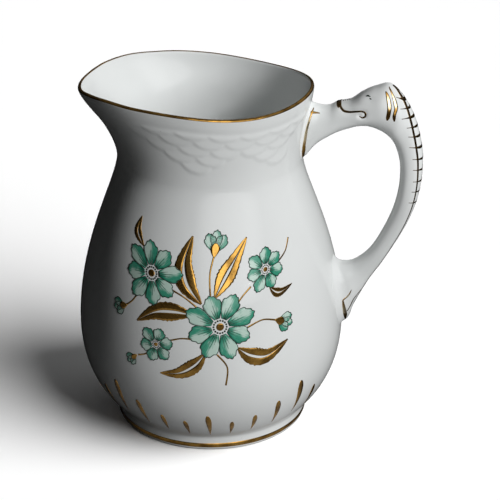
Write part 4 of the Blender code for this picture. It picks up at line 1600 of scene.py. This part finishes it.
class Canvas:
    """Lays flat drawings on the jug's wall, round its axis and along its outline."""

    def __init__(self, wall, spray):
        self.wall, self.turn = wall, spray.turn
        self.start = np.interp(spray.height, wall.profile[:, 1], wall.run)

    def lay(self, flat):
        """Points on the wall and the directions out of it."""
        run = self.start + flat[..., 1] * MM
        height = np.interp(run, self.wall.run, self.wall.profile[:, 1])
        turn = self.turn + flat[..., 0] * MM / self.wall.radius(height)
        return self.wall.ring(turn, height), self.wall.normal(turn, height)


def turned(flat, middle, angle_value):
    """Flat points turned and moved to a place."""
    cos, sin = math.cos(angle_value), math.sin(angle_value)
    x, y = flat[..., 0], flat[..., 1]
    return np.stack([middle[0] + x * cos - y * sin, middle[1] + x * sin + y * cos], -1)


def petal_grid(inner, reach, wide, rows=13, columns=13):
    """A petal that points right, with a softly toothed tip."""
    u, v = np.meshgrid(np.linspace(0, 1, rows), np.linspace(-1, 1, columns), indexing="ij")
    teeth = 0.05 * (1 - np.cos(3 * math.pi * v)) / 2 * u ** 6
    out = inner + (reach - inner) * u * (1 - 0.20 * v ** 2 * u ** 2 - teeth)
    share = np.interp(u, PETAL_PLACES, PETAL_SHARES)
    return np.stack([out, wide / 2 * v * share], -1), np.stack([u, (v + 1) / 2], -1)


def disc_grid(radius, cells=7):
    """A small disc as a grid."""
    s = np.linspace(-1, 1, cells)
    x, y = np.meshgrid(s, s, indexing="ij")
    flat = np.stack([x * np.sqrt(1 - y ** 2 / 2), y * np.sqrt(1 - x ** 2 / 2)], -1) * radius
    return flat, np.stack([(x + 1) / 2, (y + 1) / 2], -1)


def edge_path(grid):
    """The line round a petal, from its foot over the tip and back."""
    return np.vstack([grid[:, 0], grid[-1, 1:-1], grid[::-1, -1]])


class Spray:
    """Films of petals, outlines and gold on the wall."""

    def __init__(self, canvas, film):
        self.canvas = canvas
        self.petals, self.lines, self.gold = Films(film), Films(film), Films(film)

    def lay(self, films, flat, uv, layer):
        """Adds one flat grid to a group of films."""
        films.add(*self.canvas.lay(flat), uv, layer)

    def stroke(self, films, path, widths, layer, steps=24, columns=3):
        """Adds one brush stroke."""
        self.lay(films, *stroke_grid(path, widths, steps, columns), layer)

    def petal(self, middle, heading, inner, reach, wide):
        """One petal with its outline and three fine veins."""
        flat, uv = petal_grid(inner, reach, wide)
        flat = turned(flat, middle, heading)
        self.lay(self.petals, flat, uv, 1)
        self.stroke(self.lines, edge_path(flat), OUTLINE_WIDTHS, 3, 64)
        for column, last in VEINS:
            self.stroke(self.lines, flat[0:last, column], VEIN_WIDTHS, 3, 10)

    def blossom(self, x, y, reach, petals, start):
        """A round blossom: petals about a gold heart in a ring of dark grains."""
        inner = PETAL_FOOT * reach
        wide = 2.05 * math.pi * 0.66 * reach / petals
        for k in range(petals):
            heading = math.radians(start) + 2 * math.pi * k / petals
            sway = 1 + 0.07 * math.sin(2.4 * k + x)
            self.petal((x, y), heading, inner, reach * sway, wide)
        self.lay(self.gold, *self.at(disc_grid(HEART_SHARE * reach), (x, y)), 2)
        grains = 2 * petals
        for k in range(grains):
            heading = 2 * math.pi * k / grains
            place = turned(np.array((GRAIN_RING * reach, 0.0)), (x, y), heading)
            self.lay(self.lines, *self.at(disc_grid(0.024 * reach + 0.06, 4), place), 2)

    def at(self, grid, middle):
        """A flat grid moved to a place."""
        return grid[0] + np.asarray(middle), grid[1]

    def bud(self, x, y, reach, degrees):
        """A half-open bud: three petals in a gold cup."""
        heading = math.radians(degrees)
        for swing, share in BUD_PETALS:
            self.petal((x, y), heading + swing, 0.18 * reach, reach * share, 0.5 * reach)
        cup = turned(np.array(CUP_LINE) * reach, (x, y), heading)
        self.stroke(self.gold, cup, np.array(CUP_WIDTHS) * reach, 4, 14, 5)

    def leaf(self, path, wide):
        """A pointed leaf in two halves, with the glaze left bare between them as its vein."""
        flat, uv = stroke_grid(path, np.array(LEAF_SHARES) * wide, LEAF_STEPS, 9)
        middle = flat[:, 4:5]
        along = np.linspace(0.0, 1.0, LEAF_STEPS)
        slit = SLIT_END + SLIT_GAIN * smooth(0.05, 0.25, along) * smooth(0.8, 0.5, along)
        ragged = 1 + 0.04 * np.sin(71.0 * along + wide) + 0.03 * np.sin(127.0 * along)
        spread = slit[:, None] + (ragged - slit)[:, None] * np.linspace(0.0, 1.0, 5)
        for edge in (flat[:, :1], flat[:, -1:]):
            half = middle + (edge - middle) * spread[..., None]
            self.lay(self.gold, half, uv[:, :5], 0)


class MILKJUG_OT_spray(bpy.types.Operator):
    """Paints the spray of green blossoms and gold leaves on the belly"""

    bl_idname = "milk_jug.spray"
    bl_label = "Paint the Spray"

    def execute(self, context):
        jug = context.scene.milk_jug
        gilding = jug.gilding
        spray = Spray(Canvas(Wall(jug.body), jug.spray), gilding.film)
        for path in STEMS:
            spray.stroke(spray.gold, path, STEM_WIDTHS, 0)
        for path, wide in LEAVES:
            spray.leaf(path, wide)
        for blossom in BLOSSOMS:
            spray.blossom(*blossom)
        for bud in BUDS:
            spray.bud(*bud)
        enamel = material_of("petal_enamel", petal_material, jug.spray)
        ink = material_of("outline_ink", ink_material, jug.spray, OUTLINE_INK)
        spray.petals.piece("spray_petals", "enamel", enamel)
        spray.lines.piece("spray_outlines", "enamel", ink)
        spray.gold.piece("spray_leaves", "gilding", brush_gold(gilding))
        return {"FINISHED"}


# Studio


def towards(turn, rise):
    """The direction from the jug to a light; turn is from the front towards the handle."""
    return Vector((math.sin(turn) * math.cos(rise), -math.cos(turn) * math.cos(rise),
                   math.sin(rise)))


def soft_sun(name, turn, rise, strength, spread):
    """A large far light."""
    lamp = bpy.data.lights.new(name, "SUN")
    lamp.energy, lamp.angle = strength, spread
    obj = new_object(name, lamp)
    obj.rotation_euler = towards(turn, rise).to_track_quat("Z", "Y").to_euler()
    return obj


# The light into the belly: height, angle, softness of its edge, size of its source
BELLY_LIGHT_HEIGHT = 0.56
BELLY_LIGHT_ANGLE = math.radians(5.4)
BELLY_LIGHT_BLEND = 0.7
BELLY_LIGHT_SIZE = 0.008


def belly_light(name, power):
    """A narrow light straight down through the mouth, so that the belly isn't dark inside."""
    lamp = bpy.data.lights.new(name, "SPOT")
    lamp.energy = power
    lamp.spot_size, lamp.spot_blend = BELLY_LIGHT_ANGLE, BELLY_LIGHT_BLEND
    lamp.shadow_soft_size = BELLY_LIGHT_SIZE
    obj = new_object(name, lamp)
    obj.location = (AXIS_X, 0.0, BELLY_LIGHT_HEIGHT)
    obj.visible_glossy = False
    return obj


def light_only(lamp, obj, state):
    """Lets a lamp light only an object, or all but that object."""
    group = bpy.data.collections.new(lamp.name + "_receivers")
    group.objects.link(obj)
    lamp.light_linking.receiver_collection = group
    for member in group.collection_objects:
        member.light_linking.link_state = state


def floor_material(studio):
    """Pale floor, darker for the light that it throws back at the jug."""
    material, tree, shader, where = new_material("studio_floor")
    path = add_node(tree, "ShaderNodeLightPath")
    paper = noise(tree, where, 3.0, 2.0).smooth(0.3, 0.7)
    pale = mixed(tree, paper, tuple(studio.floor_colour), toned(studio.floor_colour, 0.99))
    right, deep, _ = parts_of(tree, where)
    right = right - AXIS_X
    away = (right * right + deep * deep).math("SQRT")
    front = (deep / away).smooth(-0.62, -0.02, 1.0, 0.03)
    glossy = Field(tree, path.outputs["Is Glossy Ray"])
    mirrored = glossy * front * away.smooth(0.24, 0.44, 1.0, 0.15) * studio.floor_mirror
    seen = mirrored.math("MAXIMUM", Field(tree, path.outputs["Is Camera Ray"])).math(
        "MAXIMUM", Field(tree, path.outputs["Is Transmission Ray"]))
    bounce = right.smooth(-0.02, 0.08) * studio.bounce_right + front * studio.bounce_front
    scattered = (glossy * -1.0 + 1.0) * bounce
    share = seen.math("MAXIMUM", scattered)
    tree.links.new(mixed(tree, share, (0.0, 0.0, 0.0, 1.0), pale), shader.inputs["Base Color"])
    shader.inputs["Roughness"].default_value = 0.9
    shader.inputs["Specular IOR Level"].default_value = 0.0
    return material


# Turn and rise of the window
WINDOW_PLACE = (math.radians(27), math.radians(23))


def studio_world(studio):
    """A dim room that is white where the camera looks past the floor, with a pale window."""
    world = bpy.data.worlds.new("studio_room")
    world.use_nodes = True
    tree = world.node_tree
    background = tree.nodes["Background"]
    path = add_node(tree, "ShaderNodeLightPath")
    seen = Field(tree, path.outputs["Is Camera Ray"]).math(
        "MAXIMUM", Field(tree, path.outputs["Is Transmission Ray"]))
    direction = add_node(tree, "ShaderNodeTexCoord").outputs["Generated"]
    facing = add_node(tree, "ShaderNodeVectorMath", {
        0: direction, 1: towards(*WINDOW_PLACE)}, operation="DOT_PRODUCT")
    window = Field(tree, facing.outputs["Value"]).smooth(0.79, 0.955) * studio.window
    right, _, above = parts_of(tree, direction)
    sky = above.smooth(0.2, 0.5) * right.smooth(-0.5, 0.4, 0.25, 1.0) * studio.sky
    mirrored = Field(tree, path.outputs["Is Glossy Ray"]) * window.math("MAXIMUM", sky)
    strength = seen.math("MAXIMUM", mirrored).math("MAXIMUM", studio.ambient)
    tree.links.new(strength.socket, background.inputs["Strength"])
    background.inputs["Color"].default_value = (1.0, 1.0, 1.0, 1.0)
    bpy.context.scene.world = world


CAMERA_PLACE = (0.09119, -0.73867, 0.42188)
CAMERA_AIM = (0.00029, 0.00170, 0.06246)
CAMERA_RANGE = (0.01, 50.0)
SENSOR_WIDTH = 36.0
FLOOR_CORNERS = ((-4.0, -4.0, 0.0), (4.0, -4.0, 0.0), (4.0, 4.0, 0.0), (-4.0, 4.0, 0.0))
# How white the slanting light makes the floor, and what the light from above adds
FLOOR_WHITE, FLOOR_FILL = 0.97, 0.05
FLOOR_SPREAD, FILL_SPREAD = math.radians(56), math.radians(84)
OVERHEAD = math.radians(90)
# Turn, rise and spread of the light behind the jug
BACK_TURN, BACK_RISE, BACK_SPREAD = math.radians(180), math.radians(14), math.radians(20)


class MILKJUG_OT_studio(bpy.types.Operator):
    """Sets up the pale floor, the soft light and the camera"""

    bl_idname = "milk_jug.studio"
    bl_label = "Set Up the Studio"

    def execute(self, context):
        scene = context.scene
        studio = scene.milk_jug.studio
        mesh = new_mesh("studio_floor", FLOOR_CORNERS, [(0, 1, 2, 3)])
        mesh.materials.append(floor_material(studio))
        floor = new_object("studio_floor", mesh)
        key = soft_sun("key_light", studio.key_turn, studio.key_rise, studio.key_strength,
                       studio.key_spread)
        light_only(key, floor, "EXCLUDE")
        second = soft_sun("second_light", studio.fill_turn, studio.fill_rise, studio.fill_strength,
                          studio.key_spread)
        light_only(second, floor, "EXCLUDE")
        key.visible_glossy = second.visible_glossy = False
        below = soft_sun("floor_light", studio.floor_turn, studio.floor_rise,
                         math.pi * FLOOR_WHITE / math.sin(studio.floor_rise), FLOOR_SPREAD)
        light_only(below, floor, "INCLUDE")
        fill = soft_sun("floor_fill", 0.0, OVERHEAD, math.pi * FLOOR_FILL, FILL_SPREAD)
        light_only(fill, floor, "INCLUDE")
        back = soft_sun("back_light", BACK_TURN, BACK_RISE, studio.back_strength, BACK_SPREAD)
        light_only(back, floor, "EXCLUDE")
        back.visible_glossy = False
        inside = belly_light("inside_light", studio.inside_power)
        light_only(inside, floor, "EXCLUDE")
        studio_world(studio)
        camera = bpy.data.cameras.new("photo_camera")
        camera.sensor_width, camera.lens = SENSOR_WIDTH, studio.lens
        camera.clip_start, camera.clip_end = CAMERA_RANGE
        view = new_object("photo_camera", camera)
        view.location = CAMERA_PLACE
        gaze = Vector(CAMERA_AIM) - Vector(CAMERA_PLACE)
        view.rotation_euler = gaze.to_track_quat("-Z", "Y").to_euler()
        scene.camera = view
        scene.view_settings.view_transform = "Standard"
        return {"FINISHED"}


class MILKJUG_PT_panel(bpy.types.Panel):
    """Lists the steps of the milk jug in the sidebar"""

    bl_idname = "MILKJUG_PT_panel"
    bl_label = "Milk Jug"
    bl_space_type = "VIEW_3D"
    bl_region_type = "UI"
    bl_category = "Milk Jug"

    def draw(self, context):
        jug = context.scene.milk_jug
        for operator, group in PANEL_ROWS:
            box = self.layout.box()
            box.operator(operator.bl_idname)
            settings = getattr(jug, group)
            for name in settings.__annotations__:
                box.prop(settings, name)


# The steps in order, each with the group of settings that it shows in the panel
PANEL_ROWS = ((MILKJUG_OT_body, "body"), (MILKJUG_OT_gilt_lines, "gilding"),
              (MILKJUG_OT_handle, "handle"), (MILKJUG_OT_handle_gilding, "gilding"),
              (MILKJUG_OT_foot_strokes, "gilding"), (MILKJUG_OT_spray, "spray"),
              (MILKJUG_OT_studio, "studio"))
STEPS = tuple(step for step, _ in PANEL_ROWS)
CLASSES = (JugBodySettings, HandleSettings, GildingSettings, SpraySettings, StudioSettings,
           MilkJugSettings, *STEPS, MILKJUG_PT_panel)


def register():
    """Makes the settings, steps and panel known to Blender."""
    for cls in CLASSES:
        bpy.utils.register_class(cls)
    bpy.types.Scene.milk_jug = bpy.props.PointerProperty(type=MilkJugSettings)


def unregister():
    """Takes them out again."""
    del bpy.types.Scene.milk_jug
    for cls in reversed(CLASSES):
        bpy.utils.unregister_class(cls)


def main():
    """Builds every piece in order."""
    register()
    for step in STEPS:
        group, name = step.bl_idname.split(".")
        getattr(getattr(bpy.ops, group), name)()


if __name__ == "__main__":
    main()
